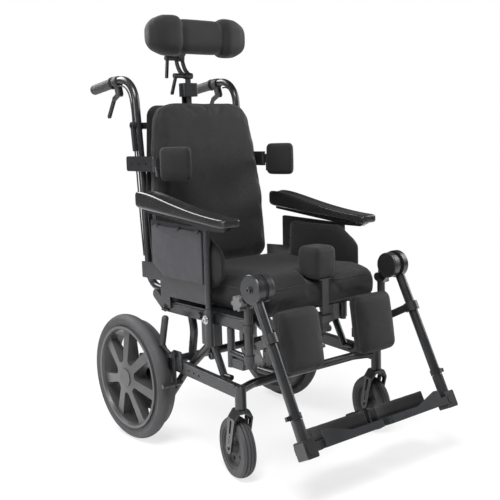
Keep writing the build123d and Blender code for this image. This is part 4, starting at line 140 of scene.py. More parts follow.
@dataclass(frozen=True)
class Finish:
    """A procedural finish, dressed by the kind of surface it is.

    Attributes:
        name: The finish's name.
        surface: Its kind of surface.
        colour: The colour that it mostly has.
        second: The colour that it clouds towards.
        roughness: The middle of its roughness.
        grain: The scale of its relief.
        bump: The strength of its relief.
        metallic: How far it is a metal.
    """

    name: str
    surface: Surface
    colour: tuple[float, float, float]
    second: tuple[float, float, float]
    roughness: float
    grain: float
    bump: float
    metallic: float = 0.0

    def material(self) -> bpy.types.Material:
        """Builds the node material.

        Returns:
            The material, made once and shared by every piece of this finish.
        """
        # The imported model brings materials that are named like the record's slots.
        look = f"look_{self.name}"
        found = bpy.data.materials.get(look)
        if found:
            return found
        material = bpy.data.materials.new(look)
        material.use_nodes = True
        tree = material.node_tree
        shader = tree.nodes["Principled BSDF"]
        place = tree.nodes.new("ShaderNodeTexCoord")
        self._colour(tree, place, shader)
        self._gloss(tree, place, shader)
        self._relief(tree, place, shader)
        set_inputs(shader, {"Metallic": self.metallic, **SURFACE_INPUTS.get(self.surface, {})})
        return material

    def _colour(self, tree: Tree, place: Node, shader: Node) -> None:
        """Clouds the colour towards the second one."""
        cloud = self._noise(tree, place, *CLOUD)
        ramp = tree.nodes.new("ShaderNodeValToRGB")
        ends = zip(ramp.color_ramp.elements, CLOUD_ENDS, (self.colour, self.second))
        for end, position, colour in ends:
            end.position = position
            end.color = (*colour, 1.0)
        tree.links.new(cloud.outputs["Fac"], ramp.inputs["Fac"])
        tree.links.new(ramp.outputs["Color"], shader.inputs["Base Color"])

    def _gloss(self, tree: Tree, place: Node, shader: Node) -> None:
        """Smears the roughness."""
        smear = self._noise(tree, place, *SMEAR)
        level = tree.nodes.new("ShaderNodeMapRange")
        low = max(LEAST_ROUGHNESS, self.roughness - ROUGHNESS_SPREAD)
        high = min(1.0, self.roughness + ROUGHNESS_SPREAD)
        set_inputs(level, {"To Min": low, "To Max": high})
        tree.links.new(smear.outputs["Fac"], level.inputs["Value"])
        tree.links.new(level.outputs["Result"], shader.inputs["Roughness"])

    def _relief(self, tree: Tree, place: Node, shader: Node) -> None:
        """Roughens the skin with grain or weave."""
        height = self._height(tree, place)
        bump = tree.nodes.new("ShaderNodeBump")
        set_inputs(bump, {"Strength": self.bump, "Distance": RELIEF_DEPTH})
        tree.links.new(height, bump.inputs["Height"])
        tree.links.new(bump.outputs["Normal"], shader.inputs["Normal"])

    def _noise(self, tree: Tree, place: Node, scale: float, detail: float) -> Node:
        """Adds a noise texture on the piece's own coordinates."""
        cloud = tree.nodes.new("ShaderNodeTexNoise")
        set_inputs(cloud, {"Scale": scale, "Detail": detail})
        tree.links.new(place.outputs["Object"], cloud.inputs["Vector"])
        return cloud

    def _height(self, tree: Tree, place: Node) -> bpy.types.NodeSocket:
        """Adds the relief's height: noise, or waves along all three axes for a weave.

        Returns:
            The socket that carries the height.
        """
        if self.surface is not Surface.WOVEN:
            return self._noise(tree, place, self.grain, RELIEF_DETAIL).outputs["Fac"]
        total = None
        for axis in ("X", "Y", "Z"):
            wave = tree.nodes.new("ShaderNodeTexWave")
            wave.bands_direction = axis
            set_inputs(wave, {"Scale": self.grain, "Distortion": WEAVE_DISTORTION})
            tree.links.new(place.outputs["Object"], wave.inputs["Vector"])
            if total is None:
                total = wave.outputs["Fac"]
                continue
            add = tree.nodes.new("ShaderNodeMath")
            add.operation = "ADD"
            tree.links.new(total, add.inputs[0])
            tree.links.new(wave.outputs["Fac"], add.inputs[1])
            total = add.outputs["Value"]
        return total


class Finishes:
    """The finishes of the chair's pieces."""

    FRAME_PAINT = Finish(
        "frame_paint",
        Surface.PAINT,
        colour=(0.017, 0.0175, 0.0195),
        second=(0.025, 0.0257, 0.028),
        roughness=0.30,
        grain=420.0,
        bump=0.25,
        metallic=0.35,
    )
    BLACK_PAINT = Finish(
        "black_paint",
        Surface.PAINT,
        colour=(0.013, 0.013, 0.014),
        second=(0.020, 0.020, 0.022),
        roughness=0.38,
        grain=380.0,
        bump=0.22,
        metallic=0.1,
    )
    MOULDED = Finish(
        "moulded_plastic",
        Surface.PLASTIC,
        colour=(0.012, 0.012, 0.013),
        second=(0.019, 0.019, 0.021),
        roughness=0.46,
        grain=900.0,
        bump=0.5,
    )
    PAD_SKIN = Finish(
        "moulded_pad",
        Surface.PLASTIC,
        colour=(0.012, 0.012, 0.013),
        second=(0.018, 0.018, 0.019),
        roughness=0.25,
        grain=700.0,
        bump=0.05,
    )
    TYRE = Finish(
        "tyre_rubber",
        Surface.RUBBER,
        colour=(0.034, 0.034, 0.036),
        second=(0.045, 0.045, 0.048),
        roughness=0.66,
        grain=600.0,
        bump=0.5,
    )
    CASTER_TYRE = Finish(
        "caster_tyre",
        Surface.RUBBER,
        colour=(0.028, 0.028, 0.030),
        second=(0.040, 0.040, 0.043),
        roughness=0.66,
        grain=600.0,
        bump=0.5,
    )
    GRIP = Finish(
        "grip_rubber",
        Surface.RUBBER,
        colour=(0.018, 0.018, 0.019),
        second=(0.026, 0.026, 0.027),
        roughness=0.62,
        grain=800.0,
        bump=0.7,
    )
    WHEEL = Finish(
        "wheel_plastic",
        Surface.PLASTIC,
        colour=(0.040, 0.040, 0.042),
        second=(0.056, 0.056, 0.058),
        roughness=0.36,
        grain=700.0,
        bump=0.35,
    )
    FABRIC = Finish(
        "upholstery_fabric",
        Surface.WOVEN,
        colour=(0.0042, 0.0042, 0.005),
        second=(0.007, 0.007, 0.0082),
        roughness=0.64,
        grain=620.0,
        bump=0.35,
    )
    WEBBING = Finish(
        "webbing",
        Surface.WOVEN,
        colour=(0.013, 0.013, 0.014),
        second=(0.021, 0.021, 0.022),
        roughness=0.8,
        grain=150.0,
        bump=0.8,
    )
    PANEL = Finish(
        "panel_fabric",
        Surface.WOVEN,
        colour=(0.022, 0.022, 0.027),
        second=(0.032, 0.032, 0.038),
        roughness=0.6,
        grain=420.0,
        bump=0.35,
    )
    FOOT_BOARD = Finish(
        "foot_board",
        Surface.PLASTIC,
        colour=(0.016, 0.017, 0.019),
        second=(0.024, 0.025, 0.028),
        roughness=0.36,
        grain=500.0,
        bump=0.3,
        metallic=0.1,
    )
    KNOB = Finish(
        "star_knob",
        Surface.PLASTIC,
        colour=(0.085, 0.086, 0.088),
        second=(0.110, 0.111, 0.114),
        roughness=0.42,
        grain=500.0,
        bump=0.3,
    )
    STEEL = Finish(
        "bright_steel",
        Surface.STEEL,
        colour=(0.42, 0.42, 0.44),
        second=(0.52, 0.52, 0.54),
        roughness=0.30,
        grain=500.0,
        bump=0.2,
        metallic=1.0,
    )


# The first key found in a node's name gives its finish; the rest is frame paint.
NODE_FINISH = {
    "rear_tyre": Finishes.TYRE,
    "caster_wheel": Finishes.CASTER_TYRE,
    "rear_rim": Finishes.WHEEL,
    "arm_pad": Finishes.PAD_SKIN,
    "push_grips": Finishes.GRIP,
    "brake_cables": Finishes.MOULDED,
    "back_shell": Finishes.MOULDED,
    "foot_plate": Finishes.MOULDED,
    "star_knob": Finishes.KNOB,
    "lever": Finishes.MOULDED,
    "gas_spring_rod": Finishes.STEEL,
    "gas_spring_cylinder": Finishes.BLACK_PAINT,
    "lateral_arm": Finishes.BLACK_PAINT,
    "headrest": Finishes.BLACK_PAINT,
    "foot_stem": Finishes.BLACK_PAINT,
    "pommel_bar": Finishes.BLACK_PAINT,
    "calf_arm": Finishes.BLACK_PAINT,
    "wheel_lock": Finishes.BLACK_PAINT,
    "leg_hanger": Finishes.BLACK_PAINT,
}


def dress_nodes(nodes: dict[str, bpy.types.Object]) -> None:
    """Gives every CAD node its finish.

    Args:
        nodes: The CAD nodes by name.
    """
    for name, node in nodes.items():
        finish = next((f for key, f in NODE_FINISH.items() if key in name), Finishes.FRAME_PAINT)
        for slot in node.material_slots:
            slot.link = "OBJECT"
            slot.material = finish.material()


# Where the rear axle is drawn along Y, in metres.
AXLE_Y = 0.200
# The leg rest's lean in degrees, and its knee as drawn.
LEG_LEAN = 26.3
KNEE_Y = -385
KNEE_Z = 551
# Rounds of averaging that even out a line cut from a mesh.
EVENING_ROUNDS = 6


@dataclass(frozen=True)
class Drawing:
    """Turns millimetres of the part's drawing into points of the frame."""

    shift: float

    @classmethod
    def measured(cls) -> Drawing:
        """Reads the shift along Y from where the rear wheel stands."""
        low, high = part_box("left_rear_tyre")
        return cls((low.y + high.y) / 2 - AXLE_Y)

    def spot(self, x: float, y: float, z: float) -> Vector:
        """Gives the frame's point for a drawn one."""
        return Vector((x / 1000, y / 1000 + self.shift, z / 1000))

    def leg(self, x: float, y: float, z: float) -> Vector:
        """Gives the frame's point for one drawn along the leaning leg rest."""
        lean = math.radians(LEG_LEAN)
        flat = KNEE_Y + y * math.cos(lean) + z * math.sin(lean)
        return self.spot(x, flat, KNEE_Z - y * math.sin(lean) + z * math.cos(lean))


def new_piece(
    name: str,
    shell: Shell,
    finish: Finish,
    body: str,
    smooth: bool = True,
) -> bpy.types.Object:
    """Makes a piece from a mesh that is already in place.

    Args:
        name: The piece's name.
        shell: Its mesh, which is used up.
        finish: Its finish.
        body: The body that it rides.
        smooth: Whether its faces are shaded smooth.

    Returns:
        The piece.
    """
    bmesh.ops.recalc_face_normals(shell, faces=shell.faces[:])
    mesh = bpy.data.meshes.new(name)
    shell.to_mesh(mesh)
    shell.free()
    for face in mesh.polygons:
        face.use_smooth = smooth
    mesh.materials.append(finish.material())
    piece = bpy.data.objects.new(name, mesh)
    bpy.context.scene.collection.objects.link(piece)
    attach(piece, body)
    LOG.info("%s: %d faces", name, len(mesh.polygons))
    return piece


def round_off(piece: bpy.types.Object) -> None:
    """Rounds a piece off by a modifier that subdivides it once.

    Args:
        piece: The piece.
    """
    modifier = piece.modifiers.new("fine", "SUBSURF")
    modifier.levels = 1
    modifier.render_levels = 1


def verts_of(made: dict[str, list]) -> list[Vert]:
    """Picks the vertices out of what a mesh operator made.

    Args:
        made: The operator's result.

    Returns:
        Its vertices.
    """
    return [item for item in made["geom"] if isinstance(item, Vert)]


def loft(shell: Shell, rings: list[list[Vert]]) -> None:
    """Joins rings of equally many vertices into a solid with flat ends.

    Args:
        shell: The mesh that has the rings and takes the faces.
        rings: The rings in order.
    """
    for first, second in zip(rings, rings[1:]):
        for k in range(len(first)):
            after = (k + 1) % len(first)
            shell.faces.new((first[k], first[after], second[after], second[k]))
    shell.faces.new(rings[0][::-1])
    shell.faces.new(rings[-1])


def sheet(shell: Shell, columns: list[list[Vert]]) -> None:
    """Joins columns of equally many vertices into a sheet.

    Args:
        shell: The mesh that has the columns and takes the faces.
        columns: The columns in order.
    """
    for left, right in zip(columns, columns[1:]):
        for k in range(len(left) - 1):
            shell.faces.new((left[k], right[k], right[k + 1], left[k + 1]))


def tube(
    shell: Shell,
    path: list[Vector],
    radius: float,
    sides: int = 8,
    closed: bool = False,
) -> None:
    """Adds a round tube along a path to a mesh.

    Args:
        shell: The mesh that takes it.
        path: The points of its centreline.
        radius: Its radius.
        sides: The corners of its section.
        closed: Whether the path ends where it starts.
    """
    count = len(path)
    rings = []
    across = None
    for i, point in enumerate(path):
        after = path[(i + 1) % count] if closed or i + 1 < count else point
        before = path[i - 1] if closed or i else point
        ahead = (after - before).normalized()
        if across is None:
            across = ahead.orthogonal().normalized()
        # The section is carried along the path without a twist.
        across = (across - ahead * across.dot(ahead)).normalized()
        up = ahead.cross(across)
        ring = []
        for k in range(sides):
            turn = 2 * math.pi * k / sides
            out = across * math.cos(turn) + up * math.sin(turn)
            ring.append(shell.verts.new(point + out * radius))
        rings.append(ring)
    if not closed:
        loft(shell, rings)
        return
    for i in range(count):
        first, second = rings[i], rings[(i + 1) % count]
        shift = 0
        if i == count - 1:
            # The last ring joins the first at the corner that lies nearest.
            shift = min(range(sides), key=lambda k: (first[0].co - second[k].co).length)
        for k in range(sides):
            a, b = (k + shift) % sides, (k + 1 + shift) % sides
            shell.faces.new((first[k], first[(k + 1) % sides], second[b], second[a]))


def cut_loop(mesh: bpy.types.Mesh, at: Vector, normal: Vector) -> list[Vector]:
    """Follows the longest line along which a plane cuts a closed mesh.

    Args:
        mesh: The mesh, which stays as it is.
        at: A point of the plane.
        normal: The plane's normal.

    Returns:
        The evened-out points of the closed line.
    """
    shell = bmesh.new()
    shell.from_mesh(mesh)
    made = bmesh.ops.bisect_plane(
        shell,
        geom=shell.verts[:] + shell.edges[:] + shell.faces[:],
        plane_co=at,
        plane_no=normal,
    )
    # A dict keeps the edges in order, so that the line starts at the same one each run.
    cut = [item for item in made["geom_cut"] if isinstance(item, bmesh.types.BMEdge)]
    edges = dict.fromkeys(cut)
    best: list[Vector] = []
    while edges:
        edge = next(iter(edges))
        del edges[edge]
        vert = edge.verts[1]
        line = [edge.verts[0].co.copy()]
        while True:
            line.append(vert.co.copy())
            step = next((e for e in vert.link_edges if e in edges), None)
            if step is None:
                break
            del edges[step]
            vert = step.other_vert(vert)
        if len(line) > len(best):
            best = line
    shell.free()
    best = best[:-1]
    count = len(best)
    for _ in range(EVENING_ROUNDS):
        best = [(best[i - 1] + best[i] * 2 + best[(i + 1) % count]) / 4 for i in range(count)]
    return best


# Distance within which corners of the CAD solid are one, in metres.
PAD_WELD = 0.00005
SMOOTH_FACTOR = 0.5
# Height over the pad's foot in which a slack hem is drawn down, in metres.
HEM_REACH = 0.08
CLOTH_PRESSURE = 4.0
CLOTH_STIFFNESS = 40.0
CLOTH_BENDING = 4.0
CLOTH_FRAMES = 14


@dataclass(frozen=True)
class SoftPiece:
    """An upholstered piece that stands for a soft CAD solid.

    Attributes:
        node: The CAD node that it replaces.
        body: The body that it rides.
        voxel: The size of its even faces.
        cap: The longest way that a point moves while it fills.
        rounds: The rounds of smoothing.
        fill: How full it is, for its soft row; it is not used.
        lower: How far its hem is drawn down.
        reach: Opposite corners of the box that it is stretched to along Y and Z, if any.
    """

    node: str
    body: str
    voxel: float = 0.005
    cap: float = 0.004
    rounds: int = 6
    fill: float = 0.7
    lower: float = 0.0
    reach: tuple[Vector, Vector] | None = None

    def build(self, nodes: dict[str, bpy.types.Object]) -> bpy.types.Object:
        """Makes the swollen pad, puts its finish on and hands it to its body.

        Args:
            nodes: The CAD nodes by name.

        Returns:
            The finished piece.
        """
        pad = self._start(nodes[self.node])
        self._remesh(pad)
        self._smooth(pad)
        self._swell(pad)
        self._hang(pad)
        if self.reach:
            self._stretch(pad, *self.reach)
        self._finish(pad)
        LOG.info("%s: %d faces", pad.name, len(pad.data.polygons))
        return pad

    def _start(self, node: bpy.types.Object) -> bpy.types.Object:
        """Copies the CAD solid as one closed mesh."""
        mesh = node.data.copy()
        mesh.materials.clear()
        shell = bmesh.new()
        shell.from_mesh(mesh)
        bmesh.ops.remove_doubles(shell, verts=shell.verts[:], dist=PAD_WELD)
        bmesh.ops.recalc_face_normals(shell, faces=shell.faces[:])
        shell.to_mesh(mesh)
        shell.free()
        pad = bpy.data.objects.new(f"{self.node}_cover", mesh)
        bpy.context.scene.collection.objects.link(pad)
        return pad

    def _apply(self, pad: bpy.types.Object) -> None:
        """Replaces the mesh by what its modifiers make of it."""
        graph = bpy.context.evaluated_depsgraph_get()
        made = bpy.data.meshes.new_from_object(pad.evaluated_get(graph), depsgraph=graph)
        pad.modifiers.clear()
        pad.data = made

    def _remesh(self, pad: bpy.types.Object) -> None:
        """Covers the solid with even faces."""
        modifier = pad.modifiers.new("even", "REMESH")
        modifier.mode = "VOXEL"
        modifier.voxel_size = self.voxel
        self._apply(pad)

    def _smooth(self, pad: bpy.types.Object) -> None:
        """Softens the edges."""
        shell = bmesh.new()
        shell.from_mesh(pad.data)
        for _ in range(self.rounds):
            bmesh.ops.smooth_vert(
                shell,
                verts=shell.verts[:],
                factor=SMOOTH_FACTOR,
                use_axis_x=True,
                use_axis_y=True,
                use_axis_z=True,
            )
        shell.to_mesh(pad.data)
        shell.free()

    def _swell(self, pad: bpy.types.Object) -> None:
        """Fills the pad by cloth pressure, with a cap on each point's travel."""
        before = [vertex.co.copy() for vertex in pad.data.vertices]
        modifier = pad.modifiers.new("fill", "CLOTH")
        settings = modifier.settings
        settings.use_pressure = True
        settings.uniform_pressure_force = CLOTH_PRESSURE
        settings.effector_weights.gravity = 0.0
        settings.tension_stiffness = CLOTH_STIFFNESS
        settings.compression_stiffness = CLOTH_STIFFNESS
        settings.bending_stiffness = CLOTH_BENDING
        scene = bpy.context.scene
        for frame in range(1, CLOTH_FRAMES + 1):
            scene.frame_set(frame)
        self._apply(pad)
        scene.frame_set(1)
        for vertex, start in zip(pad.data.vertices, before):
            move = vertex.co - start
            if move.length > self.cap:
                vertex.co = start + move.normalized() * self.cap

    def _hang(self, pad: bpy.types.Object) -> None:
        """Draws the pad's foot down, as the slack at the lower hem of its cover."""
        foot = min(vertex.co.z for vertex in pad.data.vertices)
        for vertex in pad.data.vertices:
            share = max(0.0, 1.0 - (vertex.co.z - foot) / HEM_REACH)
            vertex.co.z -= self.lower * share

    def _stretch(self, pad: bpy.types.Object, start: Vector, end: Vector) -> None:
        """Stretches the pad along Y and Z to fill the box between two corners."""
        for axis in (1, 2):
            low = min(vertex.co[axis] for vertex in pad.data.vertices)
            high = max(vertex.co[axis] for vertex in pad.data.vertices)
            for vertex in pad.data.vertices:
                share = (vertex.co[axis] - low) / (high - low)
                vertex.co[axis] = start[axis] + share * (end[axis] - start[axis])

    def _finish(self, pad: bpy.types.Object) -> None:
        pad.data.materials.append(Finishes.FABRIC.material())
        for face in pad.data.polygons:
            face.use_smooth = True
        round_off(pad)
        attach(pad, self.body)
        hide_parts(self.node)


# Opposite corners, as drawn, of the cover on the left hip pad.
LEFT_HIP_REACH = ((0, -258, 472), (0, 50, 660))


def add_upholstery(drawing: Drawing, nodes: dict[str, bpy.types.Object]) -> None:
    """Makes every swollen pad.

    Args:
        drawing: The part's drawing.
        nodes: The CAD nodes by name.
    """
    pieces = [
        SoftPiece("seat_cushion", "seat", voxel=0.007, cap=0.008, rounds=10),
        SoftPiece("back_cushion", "back", voxel=0.007, cap=0.008, rounds=10, lower=0.018),
        SoftPiece("headrest_pads", "headrest_head", rounds=10),
        SoftPiece("pommel_pad", "pommel", voxel=0.004),
    ]
    left_reach = tuple(drawing.spot(*corner) for corner in LEFT_HIP_REACH)
    for side in SIDES:
        name = side.name
        reach = left_reach if name == "left" else None
        pieces += [
            SoftPiece(f"{name}_calf_pad", f"{name}_calf_support"),
            SoftPiece(f"{name}_lateral_pad", f"{name}_lateral", voxel=0.004),
            SoftPiece(f"{name}_hip_pad", f"{name}_arm", cap=0.003, reach=reach),
        ]
    for piece in pieces:
        piece.build(nodes)


@dataclass(frozen=True)
class Piping:
    """A sewn welt round a pad, where a plane cuts it.

    Attributes:
        pad: The finished pad's name.
        body: The body that the pad rides.
        at: A point of the plane.
        normal: The plane's normal.
    """

    pad: str
    body: str
    at: Vector
    normal: Vector

    RADIUS = 0.0018

    def build(self) -> bpy.types.Object:
        """Makes the welt along the finished pad's skin."""
        line = cut_loop(bpy.data.objects[self.pad].data, self.at, self.normal)
        shell = bmesh.new()
        tube(shell, line, self.RADIUS, closed=True)
        name = f"{self.pad}_welt_{round(self.at.length * 1000)}"
        return new_piece(name, shell, Finishes.WEBBING, self.body)


# How far the planes of the back's and the calf pads' welts lean, in degrees.
BACK_WELT_LEAN = 5
CALF_WELT_LEAN = 9


def add_piping(drawing: Drawing) -> None:
    """Sews the welts round the upholstery.

    Args:
        drawing: The part's drawing.
    """
    up = Vector((0.0, 0.0, 1.0))
    Piping("seat_cushion_cover", "seat", drawing.spot(0, 0, 528), up).build()
    lean = math.radians(BACK_WELT_LEAN)
    back = Vector((0.0, math.cos(lean), -math.sin(lean)))
    Piping("back_cushion_cover", "back", drawing.spot(0, 168, 700), back).build()
    lean = math.radians(CALF_WELT_LEAN)
    face = Vector((0.0, math.cos(lean), -math.sin(lean)))
    at = drawing.spot(0, -420, 392)
    for side in SIDES:
        pad, body = f"{side.name}_calf_pad_cover", f"{side.name}_calf_support"
        Piping(pad, body, at, face).build()


@dataclass(frozen=True)
class SidePiece:
    """Something that the chair has on either side.

    Attributes:
        drawing: The part's drawing.
        side: The side.
    """

    drawing: Drawing
    side: Side


class SidePanelCover(SidePiece):
    """The fabric pocket on an arm rest's side panel, with hems, creases and clips."""

    # The panel's outer face along X, and the cover's front, rear and lower edges.
    FACE_X = 274.6
    FRONT = -152.0
    REAR = 104.0
    LOW = 533.0
    COLUMNS = 66
    ROWS = 44
    # The lower edge rises behind here, by this much for each millimetre.
    CORNER_Y = 42
    CORNER_RISE = 0.62
    # The top edge: its front height, its slope, and its drop at the rear corner.
    TOP = 684.0
    TOP_SLOPE = 0.03
    TOP_DROP = 10.0
    TOP_DROP_LENGTH = 22
    # How far the rim is sunk into the panel's face, and the cover's base stands out.
    SUNK = 0.4
    BASE = 1.0
    # The swell within the edge, and the width over which it rises.
    SWELL = 0.9
    SWELL_WIDTH = 5
    # The stitched line: its depth, its distance from the edge and its width.
    SEAM = 0.9
    SEAM_INSET = 9
    SEAM_WIDTH = 1.6
    # Two creases, each from one (y, z) to another, and the fold above each.
    CREASES = (((100, 690), (-158, 632)), ((105, 592), (-110, 545)))
    CREASE = 1.1
    CREASE_WIDTH = 2.4
    FOLD = 0.5
    FOLD_RISE = 7
    FOLD_WIDTH = 4
    # Waves of the slack cloth: their height, and their lengths along Y and Z.
    WAVE = 0.7
    WAVE_Y = 46
    WAVE_Z = 30
    # The clips: places along Y, rise over the top edge, outline, and way out from the face.
    CLIPS_Y = (72.0, -38.0, -136.0)
    CLIP_RISE = 3
    CLIP_OUTLINE = ((-9, 0), (9, 0), (2, -9), (-2, -9))
    CLIP_OUT = 1.8
    # Their thickness in metres.
    CLIP_THICK = 0.0022

    def build(self) -> None:
        """Makes the cover and its clips."""
        shell = bmesh.new()
        grid = []
        for i in range(self.COLUMNS + 1):
            y = self.FRONT + (self.REAR - self.FRONT) * i / self.COLUMNS
            low = self.LOW + max(0.0, y - self.CORNER_Y) * self.CORNER_RISE
            high = self._top(y)
            heights = [low + (high - low) * k / self.ROWS for k in range(self.ROWS + 1)]
            grid.append([self._vert(shell, y, z, low, high) for z in heights])
        sheet(shell, grid)
        inner = self.drawing.spot(self.side.sign * (self.FACE_X - self.SUNK), 0, 0).x
        rim = [edge for edge in shell.edges if edge.is_boundary]
        for vert in verts_of(bmesh.ops.extrude_edge_only(shell, edges=rim)):
            vert.co.x = inner
        rim = [edge for edge in shell.edges if edge.is_boundary]
        bmesh.ops.holes_fill(shell, edges=rim)
        name, arm = f"{self.side.name}_panel_cover", f"{self.side.name}_arm"
        cover = new_piece(name, shell, Finishes.PANEL, arm)
        self._clips(arm)

    def _top(self, y: float) -> float:
        """Gives the height of the top edge."""
        share = max(0.0, (y - self.REAR + self.TOP_DROP_LENGTH) / self.TOP_DROP_LENGTH)
        return self.TOP + (y - self.FRONT) * self.TOP_SLOPE - self.TOP_DROP * share**2

    def _vert(self, shell: Shell, y: float, z: float, low: float, high: float) -> Vert:
        """Adds one point of the cover with its relief."""
        edge = min(y - self.FRONT, self.REAR - y, z - low, high - z)
        out = self.FACE_X + self.BASE
        out += self.SWELL * min(1.0, max(0.0, edge) / self.SWELL_WIDTH)
        out -= self.SEAM * math.exp(-(((edge - self.SEAM_INSET) / self.SEAM_WIDTH) ** 2))
        for (y0, z0), (y1, z1) in self.CREASES:
            rise = z - (z0 + (y - y0) * (z1 - z0) / (y1 - y0))
            out -= self.CREASE * math.exp(-((rise / self.CREASE_WIDTH) ** 2))
            out += self.FOLD * math.exp(-(((rise - self.FOLD_RISE) / self.FOLD_WIDTH) ** 2))
        wave = Vector((y / self.WAVE_Y, z / self.WAVE_Z, self.side.sign))
        out += self.WAVE * noise.noise(wave)
        return shell.verts.new(self.drawing.spot(self.side.sign * out, y, z - self.side.drop))

    def _clips(self, arm: str) -> None:
        """Makes the clips on the cover's top edge."""
        shell = bmesh.new()
        x = self.side.sign * (self.FACE_X + self.CLIP_OUT)
        for y in self.CLIPS_Y:
            high = self._top(y) + self.CLIP_RISE - self.side.drop
            corners = [self.drawing.spot(x, y + a, high + b) for a, b in self.CLIP_OUTLINE]
            face = shell.faces.new([shell.verts.new(corner) for corner in corners])
            verts = verts_of(bmesh.ops.extrude_face_region(shell, geom=[face]))
            way = (self.side.sign * self.CLIP_THICK, 0.0, 0.0)
            bmesh.ops.translate(shell, verts=verts, vec=way)
        name = f"{self.side.name}_panel_clips"
        new_piece(name, shell, Finishes.MOULDED, arm, smooth=False)


class Station(NamedTuple):
    """One section of an arm pad, in drawn millimetres.

    Attributes:
        y: Its place.
        half: Half its width.
        low: The height of its underside.
        high: The height of its top.
        dish: How deep its top is dished.
    """

    y: float
    half: float
    low: float
    high: float
    dish: float


class ArmPad(SidePiece):
    """The moulded gutter pad of one arm rest, lofted from its rear to its nose."""

    MIDDLE_X = 271.0
    CORNERS = 40
    # The power that squares the sections, and the share of their width that is dished.
    SQUARING = 0.36
    DISHED = 0.8
    STATIONS = (
        Station(159.0, 22.0, 752.0, 778.0, 0.0),
        Station(157.0, 26.0, 745.0, 786.0, 2.0),
        Station(150.0, 30.0, 740.0, 791.5, 5.0),
        Station(132.0, 31.0, 737.0, 793.0, 9.0),
        Station(92.0, 31.0, 733.5, 789.5, 10.0),
        Station(32.0, 31.0, 728.5, 778.0, 10.0),
        Station(-58.0, 31.0, 721.0, 758.0, 8.0),
        Station(-150.0, 31.0, 713.5, 742.0, 5.0),
        Station(-230.0, 31.0, 706.5, 732.5, 2.5),
        Station(-268.0, 31.0, 702.5, 730.0, 0.8),
        Station(-284.0, 29.5, 702.5, 729.0, 0.0),
        Station(-290.0, 27.0, 704.5, 727.0, 0.0),
        Station(-292.0, 23.0, 708.5, 723.5, 0.0),
    )

    def build(self) -> None:
        """Makes the pad."""
        name = self.side.name
        arm, slot = f"{name}_arm", "moulded_pad"
        shell = bmesh.new()
        loft(shell, [self._ring(shell, station) for station in self.STATIONS])
        pad = new_piece(f"{name}_arm_cover", shell, Finishes.PAD_SKIN, arm)
        round_off(pad)
        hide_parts(f"{name}_arm_pad")

    def _ring(self, shell: Shell, at: Station) -> list[Vert]:
        """Adds one squared ring with a dished top."""
        ring = []
        rise = (at.high - at.low) / 2
        for k in range(self.CORNERS):
            turn = 2 * math.pi * k / self.CORNERS
            across, up = math.cos(turn), math.sin(turn)
            x = at.half * math.copysign(abs(across) ** self.SQUARING, across)
            z = rise * math.copysign(abs(up) ** self.SQUARING, up)
            if up > 0:
                z -= at.dish * max(0.0, 1 - (x / (at.half * self.DISHED)) ** 2)
            height = at.low + rise + z - self.side.drop
            point = self.drawing.spot(self.side.sign * (self.MIDDLE_X + x), at.y, height)
            ring.append(shell.verts.new(point))
        return ring


@dataclass(frozen=True)
class RightLateralArm:
    """The right lateral support's arm, whose bar passes behind its swung-out pad.

    Its drawn places count X away from the chair's middle.

    Attributes:
        drawing: The part's drawing.
    """

    drawing: Drawing

    PIN = (221.5, 156.0)
    ROUTE = ((226.5, 157.0), (226.0, 140.0), (210.5, 136.5), (170.6, 76.8))
    LOW = 854.4
    HIGH = 885.6
    THICK = 5.0
    LEVER = ((226.5, 142, 862), (226.5, 140, 850), (227, 137, 832))
    # The barrel's and the lever's radii in metres.
    BARREL_RADIUS = 0.008
    LEVER_RADIUS = 0.0032

    def build(self) -> None:
        """Makes the barrel, the flat bar and the release lever."""
        shell = bmesh.new()
        middle = self.drawing.spot(-self.PIN[0], self.PIN[1], (self.LOW + self.HIGH) / 2)
        bmesh.ops.create_cone(
            shell,
            cap_ends=True,
            segments=28,
            radius1=self.BARREL_RADIUS,
            radius2=self.BARREL_RADIUS,
            depth=(self.HIGH - self.LOW) / 1000,
            matrix=Matrix.Translation(middle),
        )
        loft(shell, [self._ring(shell, i) for i in range(len(self.ROUTE))])
        tube(shell, [self.drawing.spot(-x, y, z) for x, y, z in self.LEVER], self.LEVER_RADIUS)
        name, body, slot = "right_lateral_bar", "right_lateral", "black_metal"
        arm = new_piece(name, shell, Finishes.BLACK_PAINT, body, smooth=False)
        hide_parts("right_lateral_arm")

    def _ring(self, shell: Shell, i: int) -> list[Vert]:
        """Adds the flat bar's section at one point of its route."""
        x, y = self.ROUTE[i]
        x0, y0 = self.ROUTE[max(0, i - 1)]
        x1, y1 = self.ROUTE[min(len(self.ROUTE) - 1, i + 1)]
        run = Vector((x1 - x0, y1 - y0)).normalized() * self.THICK / 2
        one, other = (x - run.y, y + run.x), (x + run.y, y - run.x)
        section = ((*one, self.LOW), (*other, self.LOW), (*other, self.HIGH), (*one, self.HIGH))
        return [shell.verts.new(self.drawing.spot(-a, b, z)) for a, b, z in section]


